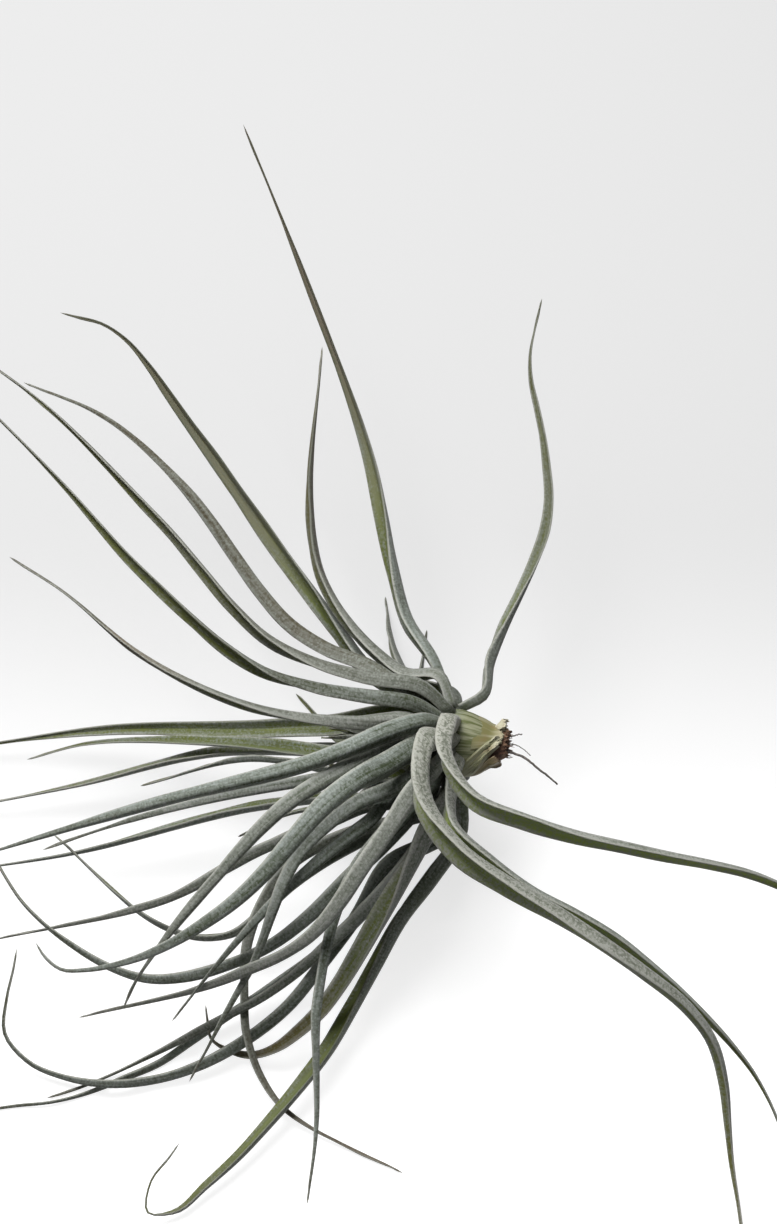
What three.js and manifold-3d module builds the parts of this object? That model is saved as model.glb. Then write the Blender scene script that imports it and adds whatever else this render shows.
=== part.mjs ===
// An air plant with many narrow, channelled, silvery leaves, picked and laid on its side, in millimetres
// with +Z up. The short stem ends at the right in a broken stub with dry sheaths. The leaves fan out from it
// to the left, and the surface it lies on is z = 0.
import * as THREE from "three";
import Module from "manifold-3d";
import { mergeVertices } from "three/addons/utils/BufferGeometryUtils.js";

const wasm = await Module();
wasm.setup();

// Driving dimensions
const HEART_HEIGHT = 44; // middle of the leaf bases above the surface
const LOOK_DOWN = THREE.MathUtils.degToRad(60); // how steeply someone looks down who sees the points below
const GAP = 0.3; // left between neighbouring pieces
const KNOT_AHEAD = 6; // middle of the knot of clasped leaf bases, ahead of the heart
const BASE_LENGTH = 15; // half the knot's length, along the stem
const BASE_RADIUS = 10.5;
const STUB_REACH = 12.5; // from the heart back to the broken end
const STUB_RADIUS = [7.4, 4.5]; // of the stub where it leaves the knot, and at its broken end
const STUB_ROOM = 1.8; // kept free round the stub
const SHEATH_THICKNESS = 0.7;
const SHEATH_ROUNDING = 1.6; // how far back the corners of its front end lie
const BLADE_THICKNESS = 1.1; // along the midrib
const EDGE_THICKNESS = 0.8;
const CHANNEL_DEPTH = 0.38; // of the blade's width
const SEAT_SPACING = 4.25; // between the middles of the blades' feet
const TAIL_ROOM = 13; // from the broken end to the nearest foot
const SEAT_ROUNDS = 400; // of spreading the feet over the knot
const SEAT_PUSH = 0.3; // share of what two feet miss that one round gives to each
const RISE = 5; // how far a blade stands straight out from the knot
const SEAT_WIDTH = 3.6; // of a blade where it leaves the base
const TIP_WIDTH = 1.3;
const TAPER = 0.8; // 1 narrows a blade evenly towards its tip
const WIDEST_AT = 0.15; // share of its length where a blade is widest
const TAPER_MADE_UP = 1.14; // so that it is as wide there as its leaf should be
const TIP_CROWDING = 1.3; // 1 spaces a blade's sections evenly, and more crowds them towards the tip
const FACING = 0.3; // share of its length by which a blade faces the shoot's axis
const TWIST_OVER = [0.1, 0.5]; // shares of its length between which it twists further
const RINGS = 15; // sections of a blade, the pointed tip not counted
const STEPS = 3; // places between two sections where neighbours are looked for
const EXTRA_GAP = 0.3; // more of it while the leaves are bent clear
const EDGE_ROOM = 0.1; // past each edge of a blade
const PUSH = 0.35; // share of a push that one round gives, and as much again towards the viewer
const ALONGSIDE = 0.4; // sine of the angle under which two blades count as side by side
const KNOT_ROOM = 2.2; // between a midrib and the knot, past the foot
const MORE_ROOM = 0.25; // given, pass by pass, to two leaves that still come too close
const ROUNDS = 25; // of bending the leaves clear of each other, in one pass
const MOST_ROOM = 1;
const PASSES = 34;

// The growing direction of the shoot, as [right, up, near].
const SHOOT = [-0.98, 0.1, -0.17];

// The midrib of each leaf that can be told apart, from near its base to its tip. A point is
// [right, up, near] from the heart, to someone who looks down on the plant. width is the widest part of the
// blade, and turn twists the blade about its midrib by that many degrees at mid length.
const LEAVES = [
  // rising from the far side
  {
    width: 7,
    turn: 75,
    midrib: [[3, 12, -3], [8, 27, -12], [25, 68, -30], [24, 94, -38], [20, 118, -44], [24, 139, -48]],
  },
  { width: 7.5, turn: 60, midrib: [[-17, 36, -18], [-30, 89, -38], [-50, 144, -52], [-71, 196, -60]] },
  { width: 7, turn: 25, midrib: [[-21, 22, -8], [-43, 48, -18], [-48, 72, -22], [-45, 122, -28]] },
  // up and to the left
  {
    width: 8,
    turn: 50,
    midrib: [[-20, 17, -8], [-52, 52, -33], [-86, 98, -54], [-112, 130, -61], [-130, 136, -63]],
  },
  { width: 6.5, turn: -35, midrib: [[-51, 35, -5], [-86, 78, -12], [-110, 99, -14], [-136, 110, -16]] },
  { width: 6, turn: 80, midrib: [[-56, 30, 10], [-92, 67, 5], [-125, 100, 2], [-152, 120, 0]] },
  { width: 6, turn: 110, midrib: [[-60, 23, 24], [-94, 50, 26], [-120, 78, 25], [-147, 105, 23]] },
  { width: 5.5, turn: 105, midrib: [[-60, 12, 33], [-93, 26, 33], [-119, 46, 29], [-135, 56, 26]] },
  // level, to the left
  { width: 7, turn: 0, midrib: [[-64, 4, -24], [-112, 3, -38], [-159, -3, -44]] },
  { width: 6.5, turn: 0, midrib: [[-70, -1, -20], [-117, -1, -30], [-137, -6, -32]] },
  { width: 6.5, turn: 35, midrib: [[-76, -4, -24], [-120, -14, -31], [-156, -21, -34]] },
  { width: 5.5, turn: 0, midrib: [[-65, -5, -8], [-100, -13, -12]] },
  { width: 6, turn: 0, midrib: [[-50, -5, 36], [-90, -15, 36], [-150, -33, 24]] },
  { width: 5, turn: 0, midrib: [[-75, -16, 6], [-109, -25, -2], [-129, -32, -5]] },
  { width: 6, turn: 0, midrib: [[-69, -21, -15], [-119, -34, -20], [-158, -40, -22]] },
  { width: 7, turn: 0, midrib: [[-60, -31, 4], [-92, -47, 5], [-143, -58, 5]] },
  { width: 4.5, turn: 0, midrib: [[-54, -21, -3], [-70, -28, -5]] },
  // down and to the left, curling up at the tips
  {
    width: 8.5,
    turn: 0,
    midrib: [[-38, -13, 44], [-67, -43, 44], [-98, -61, 34], [-122, -64, 24], [-128, -57, 20]],
  },
  { width: 7, turn: 0, midrib: [[-50, -14, 36], [-78, -42, 36], [-97, -66, 28], [-102, -76, 24]] },
  {
    width: 7.5,
    turn: 0,
    midrib: [[-36, -40, 20], [-59, -59, 21], [-95, -69, 16], [-129, -51, 10], [-146, -27, 6]],
  },
  { width: 8, turn: 0, midrib: [[-25, -26, 36], [-45, -53, 38], [-72, -68, 26], [-117, -81, 6]] },
  { width: 6.5, turn: 0, midrib: [[-48, -39, 0], [-73, -58, -2], [-93, -55, -3], [-126, -27, -6]] },
  { width: 6.5, turn: 0, midrib: [[-52, -40, 26], [-75, -64, 26], [-88, -80, 22]] },
  { width: 6, turn: 0, midrib: [[-55, -38, 6], [-67, -68, 7], [-58, -103, 14], [-20, -125, 21]] },
  { width: 6.5, turn: 0, midrib: [[-48, -29, 29], [-63, -61, 29], [-83, -98, 20]] },
  { width: 7.5, turn: 0, midrib: [[-36, -56, 0], [-73, -82, 3], [-107, -103, 6], [-148, -112, 6]] },
  { width: 7, turn: 0, midrib: [[-28, -46, 12], [-55, -71, 11], [-84, -87, 8], [-126, -107, 8]] },
  {
    width: 8,
    turn: 0,
    midrib: [
      [-27, -44, 9],
      [-43, -64, 10],
      [-56, -80, 10],
      [-84, -97, 9],
      [-116, -100, 9],
      [-138, -88, 8],
      [-135, -60, 8],
    ],
  },
  // down, hooked or coming back to the right
  {
    width: 10,
    turn: -65,
    midrib: [
      [-13, -28, 20],
      [-21, -43, 20],
      [-30, -58, 18],
      [-38, -71, 15],
      [-47, -82, 12],
      [-63, -92, 8],
      [-77, -88, 6],
      [-79, -77, 6],
    ],
  },
  {
    width: 9,
    turn: -40,
    midrib: [
      [-12, -35, 2],
      [-18, -49, 3],
      [-30, -71, 7],
      [-42, -91, 13],
      [-53, -104, 18],
      [-73, -124, 26],
      [-93, -137, 31],
      [-95, -128, 30],
      [-85, -114, 28],
    ],
  },
  { width: 7, turn: 0, midrib: [[-35, -39, 28], [-44, -71, 32], [-45, -109, 33], [-48, -131, 35]] },
  // looping forward and to the right
  {
    width: 7,
    turn: 45,
    midrib: [
      [-5, 9, 16],
      [-8, 1, 27],
      [-6, -7, 37],
      [0, -12, 42],
      [22, -21, 44],
      [54, -29, 38],
      [87, -38, 27],
      [126, -64, 6],
    ],
  },
  {
    width: 9.5,
    turn: 40,
    midrib: [
      [-10, 0, 22],
      [-13, -14, 36],
      [-3, -27, 44],
      [38, -54, 44],
      [69, -82, 34],
      [76, -122, 27],
      [79, -147, 33],
    ],
  },
  {
    width: 6.5,
    turn: 0,
    midrib: [[-7, -18, 30], [13, -37, 36], [42, -54, 33], [82, -94, 20], [96, -125, 20]],
  },
];

// The leaves of the far side, under the others: how many, their shortest and longest, and the sector that
// they fill, in degrees round the shoot from up towards near.
const FAR_LEAVES = 6;
const FAR_LENGTH = [80, 112];
const FAR_WIDTH = 7;
const FAR_SECTOR = [-160, -52];
const FAR_LEAN = [34, 62]; // from the shoot's own direction
const FAR_DROOP = 10; // degrees that they bend away from the shoot between base and tip
const FAR_STEP = 5; // of the leans that are dealt out in turn

// The youngest leaves, in the middle, grown together at their bases.
const YOUNG_LEAVES = 5;
const YOUNG_LENGTH = [16, 24];
const YOUNG_LEAN = [3, 6]; // from the shoot
const YOUNG_WIDTH = 3.6;
const YOUNG_RINGS = 6;
const YOUNG_ROOM = 1.6; // kept free round them
const BUD_RADIUS = 2.6; // of the short core that they stand on
const BUD_LENGTH = 9;

const SPREAD = 3; // stations on either side that a push carries along
const CELL = 11; // two blades farther apart than this don't touch
const FLOOR_PRESS = 0.3; // how deep a blade sinks before the surface lifts it
const PRESS_REACH = 2.4; // corners of a section this low are pressed flat where it touches the surface
const TOUCHING = 0.02; // a section this low touches the surface
const LIFT_CARRIED = 0.3; // share of a station's lift that its neighbours take over
const TIP_HEIGHT = 0.4; // of a lying blade's tip

// The dry sheaths round the stub. turn is the middle of a sheath, in degrees round the shoot from up towards
// near, and span its breadth in degrees, at its front and at its back. along is how far the two ends lie
// ahead of the heart, and lift how far they stand off the stub.
const SHEATHS = [
  { name: "sheath_upper", turn: [10, -20], span: [125, 66], along: [-3.6, -11.4], lift: [0.5, 0.4] },
  { name: "sheath_front", turn: [140, 76], span: [30, 26], along: [-3.6, -10.4], lift: [0.7, 0.5] },
  { name: "sheath_lower", turn: [203, 190], span: [74, 84], along: [-3.4, -10.8], lift: [0.8, 0.4] },
  { name: "sheath_far", turn: [272, 268], span: [46, 50], along: [-3.6, -11], lift: [0.5, 0.4] },
  { name: "sheath_tip", turn: [46, 50], span: [22, 20], along: [-9.4, -11.8], lift: [0.5, 3.6] },
];

// Rootlets on the broken end, as points [right, up, near] from the heart.
const ROOTLETS = [
  [[10, -1.5, 2], [16, -3.5, 5], [21, -7.5, 5], [26, -11.5, 4]],
  [[10, 0.5, 1], [14, 0, 3], [18, -3, 4]],
  [[9, 2, 0], [13, 2.8, 1], [15.5, 3.4, 1]],
];
const ROOTLET_RADIUS = 0.45;
const BREAK_DEPTH = 1.6; // of the broken end's unevenness

const GOLDEN_TURN = THREE.MathUtils.degToRad(137.5);
const SECTION = 6; // corners of a blade's section
const STATIONS = RINGS * STEPS;

const right = new THREE.Vector3(1, 0, 0);
const up = new THREE.Vector3(0, Math.sin(LOOK_DOWN), Math.cos(LOOK_DOWN));
const near = new THREE.Vector3(0, -Math.cos(LOOK_DOWN), Math.sin(LOOK_DOWN));
const heart = new THREE.Vector3(0, 0, HEART_HEIGHT);

// [right, up, near] as a direction in the plant's own frame, and as a point of it.
function direction([r, u, n]) {
  return new THREE.Vector3().addScaledVector(right, r).addScaledVector(up, u).addScaledVector(near, n);
}
function point(seen) {
  return direction(seen).add(heart);
}

const shoot = direction(SHOOT).normalize();
const shootUp = up.clone().addScaledVector(shoot, -up.dot(shoot)).normalize();
const shootNear = new THREE.Vector3().crossVectors(shootUp, shoot);
const knot = heart.clone().addScaledVector(shoot, KNOT_AHEAD);

// A direction that leans from the shoot by lean, towards the side that lies turn round it from up.
function leaning(lean, turn) {
  return new THREE.Vector3()
    .addScaledVector(shoot, Math.cos(lean))
    .addScaledVector(shootUp, Math.sin(lean) * Math.cos(turn))
    .addScaledVector(shootNear, Math.sin(lean) * Math.sin(turn));
}

function mulberry(seed) {
  let state = seed;
  return () => {
    state = (state + 0x6d2b79f5) | 0;
    let t = Math.imul(state ^ (state >>> 15), 1 | state);
    t = (t + Math.imul(t ^ (t >>> 7), 61 | t)) ^ t;
    return ((t ^ (t >>> 14)) >>> 0) / 4294967296;
  };
}

// The knot of clasped leaf bases is an ellipsoid. A point's place in it, as a share of its radius.
function knotDepth(p) {
  const q = p.clone().sub(knot);
  const along = q.dot(shoot);
  const across = Math.sqrt(Math.max(0, q.lengthSq() - along * along));
  return Math.hypot(along / BASE_LENGTH, across / BASE_RADIUS);
}

// The knot's outward normal under a point.
function knotNormal(p) {
  const q = p.clone().sub(knot);
  const along = q.dot(shoot);
  const across = q.clone().addScaledVector(shoot, -along);
  return across.divideScalar(BASE_RADIUS ** 2).addScaledVector(shoot, along / BASE_LENGTH ** 2).normalize();
}

// Where a blade that stands on the knot under a point starts.
function seatUnder(p) {
  const onSurface = p.clone().sub(knot).divideScalar(knotDepth(p)).add(knot);
  return onSurface.addScaledVector(knotNormal(onSurface), GAP);
}

// The seats of the leaves: each as near as it can be to where its leaf wants to stand, at a fair spacing.
function spreadSeats(wanted) {
  const tail = heart.clone().addScaledVector(shoot, -STUB_REACH);
  const seats = wanted.map(seatUnder);
  for (let round = 0; round < SEAT_ROUNDS; round++) {
    const moves = seats.map((seat, i) => {
      const move = new THREE.Vector3();
      seats.forEach((other, j) => {
        if (j === i) return;
        const away = seat.clone().sub(other);
        const missing = SEAT_SPACING - away.length();
        if (missing > 0) move.addScaledVector(away.normalize(), missing * SEAT_PUSH);
      });
      const fromTail = seat.clone().sub(tail);
      const missing = TAIL_ROOM - fromTail.length();
      if (missing > 0) move.addScaledVector(fromTail.normalize(), missing * SEAT_PUSH);
      return move;
    });
    seats.forEach((seat, i) => seat.copy(seatUnder(seat.add(moves[i]))));
  }
  return seats;
}

// A leaf is a row of stations along its midrib, the last at its tip.
function makeLeaf({ name, width, turn, points, seat }) {
  const start = seat.clone().addScaledVector(knotNormal(seat), RISE);
  const curve = new THREE.CatmullRomCurve3([seat, start, ...points], false, "centripetal");
  curve.arcLengthDivisions = 400;
  const stations = Array.from({ length: STATIONS + 1 }, (_, k) => curve.getPointAt(shareAt(k)));
  return { name, width, turn, fixed: false, seat, stations };
}

// How far along the leaf a station lies. They stand closer together towards the tip.
function shareAt(k) {
  return 1 - Math.pow(1 - k / STATIONS, TIP_CROWDING);
}

function bladeWidth(leaf, s) {
  const full = TAPER_MADE_UP * leaf.width * Math.pow(1 - s, TAPER);
  const opened = THREE.MathUtils.smoothstep(s, 0, WIDEST_AT);
  return Math.max(TIP_WIDTH, THREE.MathUtils.lerp(SEAT_WIDTH, full, opened));
}

// The angle, round an axis, from one direction to another that are both square to it.
function angleRound(axis, from, to) {
  return Math.atan2(new THREE.Vector3().crossVectors(from, to).dot(axis), from.dot(to));
}

// The direction across a blade whose channel faces the shoot's axis, at a place with that tangent.
function acrossAt(place, tangent) {
  const across = new THREE.Vector3().crossVectors(shoot, place.clone().sub(heart));
  return across.addScaledVector(tangent, -across.dot(tangent)).normalize();
}

// The tangent, the direction across the blade and the direction that its channel faces, at every station.
// The foot lies flat on the knot, the blade turns to face the shoot's axis by FACING, and turn twists it on.
function frames(leaf) {
  const p = leaf.stations;
  const tangents = p.map((_, k) =>
    p[Math.min(k + 1, p.length - 1)].clone().sub(p[Math.max(k - 1, 0)]).normalize(),
  );
  let across = acrossAt(p[0], tangents[0]);
  const carried = tangents.map((tangent) => {
    across = across.clone().addScaledVector(tangent, -across.dot(tangent)).normalize();
    return across;
  });
  if (leaf.radius) return tangents.map((tangent, k) => frameOf(tangent, carried[k], 0));
  const facing = tangents.findIndex((_, k) => shareAt(k) >= FACING);
  const toShoot = angleRound(tangents[facing], carried[facing], acrossAt(p[facing], tangents[facing]));
  const more = THREE.MathUtils.degToRad(leaf.turn);
  return tangents.map((tangent, k) => {
    const s = shareAt(k);
    const faced = THREE.MathUtils.smoothstep(s, 0, FACING);
    const twist = toShoot * faced + more * THREE.MathUtils.smoothstep(s, ...TWIST_OVER);
    return frameOf(tangent, carried[k], twist);
  });
}

function frameOf(tangent, across, twist) {
  const turned = across.clone().applyAxisAngle(tangent, twist);
  return { tangent, across: turned, inside: new THREE.Vector3().crossVectors(tangent, turned) };
}

// How a leaf fills space, as one ellipse at each station.
function ellipses(leaf) {
  const axes = frames(leaf);
  return leaf.stations.map((p, k) => {
    if (leaf.radius) {
      const r = leaf.radius(k / STATIONS);
      return { centre: p, halfWidth: r, halfDepth: r, ...axes[k] };
    }
    const width = bladeWidth(leaf, shareAt(k));
    const depth = width * CHANNEL_DEPTH;
    const centre = p.clone().addScaledVector(axes[k].inside, depth / 2);
    const halfWidth = width / 2 + EDGE_ROOM;
    return { centre, halfWidth, halfDepth: (depth + BLADE_THICKNESS) / 2, ...axes[k] };
  });
}

function reach(ellipse, towards) {
  return Math.hypot(
    ellipse.halfWidth * towards.dot(ellipse.across),
    ellipse.halfDepth * towards.dot(ellipse.inside),
  );
}

// The push that clears ellipse a of ellipse b, or null where they are clear.
function clearing(a, b, gap) {
  const between = a.centre.clone().sub(b.centre);
  if (between.length() > a.halfWidth + b.halfWidth + gap) return null;
  let towards = new THREE.Vector3().crossVectors(a.tangent, b.tangent);
  if (towards.length() < ALONGSIDE) {
    const sense = a.tangent.dot(b.tangent) < 0 ? -1 : 1;
    const along = a.tangent.clone().addScaledVector(b.tangent, sense).normalize();
    towards = between.clone().addScaledVector(along, -between.dot(along));
  } else if (towards.dot(between) < 0) {
    towards.negate();
  }
  if (towards.length() < 1e-6) towards = near.clone();
  towards.normalize();
  const missing = reach(a, towards) + reach(b, towards) + gap - Math.abs(between.dot(towards));
  return missing > 0 ? towards.multiplyScalar(missing) : null;
}

function cellOf(p) {
  return [p.x, p.y, p.z].map((c) => Math.floor(c / CELL));
}

// One round of bending clear. room says how far apart two leaves have to be.
function bendClearOnce(leaves, room) {
  const all = leaves.map(ellipses);
  const grid = new Map();
  all.forEach((row, i) =>
    row.forEach((e, k) => {
      const key = cellOf(e.centre).join();
      if (!grid.has(key)) grid.set(key, []);
      grid.get(key).push([i, k]);
    }),
  );
  leaves.forEach((leaf, i) => {
    if (leaf.fixed) return;
    const pushes = leaf.stations.map((_, k) => {
      const e = all[i][k];
      const [cx, cy, cz] = cellOf(e.centre);
      const push = new THREE.Vector3();
      let most = 0;
      for (let x = cx - 1; x <= cx + 1; x++)
        for (let y = cy - 1; y <= cy + 1; y++)
          for (let z = cz - 1; z <= cz + 1; z++)
            for (const [j, l] of grid.get([x, y, z].join()) ?? []) {
              if (j === i) continue;
              const found = clearing(e, all[j][l], room(i, j));
              if (!found) continue;
              if (!leaves[j].fixed) found.multiplyScalar(0.5);
              most = Math.max(most, found.length());
              push.add(found);
            }
      push.clampLength(0, most);
      const nearPart = push.dot(near);
      return push.multiplyScalar(PUSH).addScaledVector(near, PUSH * nearPart);
    });
    const moved = pushes.map((_, k) => {
      const sum = new THREE.Vector3();
      let weight = 0;
      for (let j = -SPREAD; j <= SPREAD; j++) {
        const share = Math.cos((j / (SPREAD + 1)) * (Math.PI / 2)) ** 2;
        const at = THREE.MathUtils.clamp(k + j, 0, STATIONS);
        sum.addScaledVector(pushes[at], share);
        weight += share;
      }
      return sum.divideScalar(weight);
    });
    leaf.stations.forEach((p, k) => p.add(moved[k]));
    settle(leaf);
  });
}

// The pairs of leaves whose blades are still too close.
function closePairs(leaves) {
  const solids = leaves.map(leafSolid);
  const boxes = solids.map((solid) => {
    const { min, max } = solid.boundingBox();
    return new THREE.Box3(new THREE.Vector3(...min), new THREE.Vector3(...max)).expandByScalar(GAP);
  });
  const pairs = [];
  for (let i = 0; i < leaves.length; i++)
    for (let j = i + 1; j < leaves.length; j++)
      if (boxes[i].intersectsBox(boxes[j]) && solids[i].minGap(solids[j], GAP) < GAP / 2) pairs.push([i, j]);
  return pairs;
}

// Puts a leaf's foot back on the knot, keeps the rest out of the knot, and lays on the surface what would
// sink into it.
function settle(leaf) {
  const p = leaf.stations;
  const step = p[5].distanceTo(p[4]);
  const { seat } = leaf;
  p[0].copy(seat);
  p[1].copy(seat).addScaledVector(knotNormal(seat), step);
  p[2].lerp(p[1].clone().add(p[3]).multiplyScalar(0.5), 0.5);
  for (let k = 2; k <= STATIONS; k++) {
    const clear = 1 + KNOT_ROOM / BASE_RADIUS;
    const depth = knotDepth(p[k]);
    if (depth < clear) p[k].sub(knot).multiplyScalar(clear / depth).add(knot);
  }
  const rows = ellipses(leaf);
  const vertical = new THREE.Vector3(0, 0, 1);
  const lift = rows.map((e) => Math.max(0, reach(e, vertical) - FLOOR_PRESS - e.centre.z));
  p.forEach((q, k) => {
    const around = [lift[Math.max(k - 1, 0)], lift[k], lift[Math.min(k + 1, STATIONS)]];
    q.z += Math.max(lift[k], LIFT_CARRIED * Math.max(...around));
  });
}

// The corners of a blade's section: left, middle and right of the channel's face, then of the outer face.
function sectionAt(place, across, inside, width) {
  const depth = width * CHANNEL_DEPTH;
  const corner = (side, lift) =>
    place.clone().addScaledVector(across, (side * width) / 2).addScaledVector(inside, lift);
  return [
    corner(-1, depth + EDGE_THICKNESS / 2),
    corner(0, BLADE_THICKNESS / 2),
    corner(1, depth + EDGE_THICKNESS / 2),
    corner(1, depth - EDGE_THICKNESS / 2),
    corner(0, -BLADE_THICKNESS / 2),
    corner(-1, depth - EDGE_THICKNESS / 2),
  ];
}

// A section that touches the surface is pressed flat on it.
function layFlat(corners) {
  const lowest = Math.min(...corners.map((c) => c.z));
  if (lowest > TOUCHING) return corners;
  const order = [...corners].sort((a, b) => a.z - b.z);
  const under = order.slice(0, SECTION / 2);
  const lying = under.every((c) => c.z < PRESS_REACH);
  under.forEach((c) => {
    c.z = lying ? 0 : Math.max(c.z, 0);
  });
  order.slice(SECTION / 2).forEach((c) => {
    c.z = Math.max(c.z, lying ? BLADE_THICKNESS : 0);
  });
  return corners;
}

// A closed blade through a row of sections, with a flat foot and a pointed tip.
function bladeSolid(rings, tip) {
  const vertices = [...rings.flat(), tip];
  const faces = [
    [0, 1, 5],
    [1, 4, 5],
    [1, 2, 4],
    [2, 3, 4],
  ];
  // Each strip joins two corners of every section. The diagonals run alike on the two faces of the blade.
  const strips = [
    [0, 1, false],
    [1, 2, true],
    [2, 3, false],
    [3, 4, false],
    [4, 5, true],
    [5, 0, false],
  ];
  for (let r = 0; r + 1 < rings.length; r++) {
    const here = r * SECTION;
    const next = here + SECTION;
    for (const [a, b, crossed] of strips) {
      if (crossed) faces.push([here + a, next + a, here + b], [here + b, next + a, next + b]);
      else faces.push([here + a, next + b, here + b], [here + a, next + a, next + b]);
    }
  }
  const last = (rings.length - 1) * SECTION;
  for (let c = 0; c < SECTION; c++) faces.push([last + c, vertices.length - 1, last + ((c + 1) % SECTION)]);
  return solidOf(vertices, faces);
}

function solidOf(vertices, faces) {
  const solid = new wasm.Manifold(
    new wasm.Mesh({
      numProp: 3,
      vertProperties: new Float32Array(vertices.flatMap((v) => [v.x, v.y, v.z])),
      triVerts: new Uint32Array(faces.flat()),
    }),
  );
  return solid;
}

function leafSolid(leaf) {
  const axes = frames(leaf);
  const rings = [];
  for (let r = 0; r < RINGS; r++) {
    const k = r * STEPS;
    const { across, inside } = axes[k];
    rings.push(layFlat(sectionAt(leaf.stations[k], across, inside, bladeWidth(leaf, shareAt(k)))));
  }
  const tip = leaf.stations[STATIONS].clone();
  tip.z = Math.max(tip.z, TIP_HEIGHT);
  return bladeSolid(rings, tip);
}

// The leaves of the far side follow a rule: their seats turn evenly through the sector, and lean by turns.
function farLeaves() {
  const random = mulberry(7);
  const leaves = [];
  for (let i = 0; i < FAR_LEAVES; i++) {
    const share = (i + 0.5) / FAR_LEAVES;
    const turn = THREE.MathUtils.degToRad(THREE.MathUtils.lerp(...FAR_SECTOR, share));
    const leanShare = ((i * FAR_STEP) % (FAR_LEAVES + 1)) / FAR_LEAVES;
    const lean = THREE.MathUtils.degToRad(THREE.MathUtils.lerp(...FAR_LEAN, leanShare));
    const droop = THREE.MathUtils.degToRad(FAR_DROOP);
    const length = THREE.MathUtils.lerp(...FAR_LENGTH, random());
    const points = [0.2, 0.6, 1].map((s) =>
      leaning(lean + droop * s * s, turn).multiplyScalar(length * s).add(heart),
    );
    leaves.push({ width: FAR_WIDTH, turn: 0, points });
  }
  return leaves;
}

// What the leaves have to go round: a row of stations with a radius.
function obstacle(from, to, radius) {
  const stations = [];
  for (let k = 0; k <= STATIONS; k++) {
    stations.push(heart.clone().addScaledVector(shoot, THREE.MathUtils.lerp(from, to, k / STATIONS)));
  }
  return { fixed: true, radius, stations };
}

function growLeaves() {
  const seen = LEAVES.map((leaf) => ({ ...leaf, points: leaf.midrib.map(point) }));
  const wanted = [...seen, ...farLeaves()];
  const seats = spreadSeats(wanted.map((leaf) => leaf.points[0]));
  const leaves = wanted.map((leaf, i) =>
    makeLeaf({ ...leaf, seat: seats[i], name: "leaf_" + String(i + 1).padStart(2, "0") }),
  );
  const front = KNOT_AHEAD + BASE_LENGTH;
  const bud = obstacle(front, front + YOUNG_LENGTH[1], () => BUD_RADIUS + YOUNG_ROOM);
  const stub = obstacle(-5, -STUB_REACH - 3, () => STUB_RADIUS[1] + STUB_ROOM);
  leaves.forEach(settle);
  const extra = new Map();
  const given = (i, j) => extra.get(Math.min(i, j) + " " + Math.max(i, j)) ?? 0;
  const room = (i, j) => GAP + EXTRA_GAP + given(i, j);
  for (let pass = 0; pass < PASSES; pass++) {
    for (let round = 0; round < ROUNDS; round++) bendClearOnce([...leaves, bud, stub], room);
    const pairs = closePairs(leaves);
    if (!pairs.length) break;
    for (const [i, j] of pairs) extra.set(i + " " + j, Math.min(MOST_ROOM, given(i, j) + MORE_ROOM));
  }
  return leaves;
}

// A closed solid from a three.js geometry, moved by a matrix.
function solidFrom(geometry, matrix) {
  const bare = new THREE.BufferGeometry().setAttribute("position", geometry.getAttribute("position"));
  if (geometry.index) bare.setIndex(geometry.index);
  if (matrix) bare.applyMatrix4(matrix);
  const merged = mergeVertices(bare, 1e-4);
  return new wasm.Manifold(
    new wasm.Mesh({
      numProp: 3,
      vertProperties: merged.attributes.position.array,
      triVerts: new Uint32Array(merged.index.array),
    }),
  );
}

// A matrix that takes +Y to the shoot's direction and the origin to a place along it.
function alongShoot(distance) {
  const turn = new THREE.Quaternion().setFromUnitVectors(new THREE.Vector3(0, 1, 0), shoot);
  const place = heart.clone().addScaledVector(shoot, distance);
  return new THREE.Matrix4().compose(place, turn, new THREE.Vector3(1, 1, 1));
}

// The stem: the knot of clasped leaf bases, the stub with its broken end, and the rootlets.
function stemSolid() {
  const random = mulberry(3);
  const ball = new THREE.SphereGeometry(1, 20, 14).scale(BASE_RADIUS, BASE_LENGTH, BASE_RADIUS);
  const stub = new THREE.CylinderGeometry(...STUB_RADIUS, STUB_REACH, 14, 4);
  const place = stub.attributes.position;
  const uneven = new Map();
  for (let i = 0; i < place.count; i++) {
    const [x, y, z] = [place.getX(i), place.getY(i), place.getZ(i)];
    if (y > -STUB_REACH / 2 + 0.01) continue;
    const key = [x, z].map((c) => c.toFixed(2) * 1 + 0).join();
    if (!uneven.has(key)) uneven.set(key, random() * BREAK_DEPTH);
    place.setY(i, y + uneven.get(key));
  }
  let stem = solidFrom(ball, alongShoot(KNOT_AHEAD)).add(solidFrom(stub, alongShoot(-STUB_REACH / 2)));
  const section = new THREE.Shape().absarc(0, 0, ROOTLET_RADIUS, 0, 2 * Math.PI);
  for (const points of ROOTLETS) {
    const extrudePath = new THREE.CatmullRomCurve3(points.map(point));
    const shape = { curveSegments: 5, steps: 8, extrudePath, bevelEnabled: false };
    const tube = new THREE.ExtrudeGeometry(section, shape);
    stem = stem.add(solidFrom(tube));
  }
  return stem;
}

// A place round the shoot: so far ahead of the heart, so far from the axis, at a turn from up towards near.
function around(along, radius, turn) {
  const out = leaning(Math.PI / 2, THREE.MathUtils.degToRad(turn));
  return heart.clone().addScaledVector(shoot, along).addScaledVector(out, radius);
}

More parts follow.
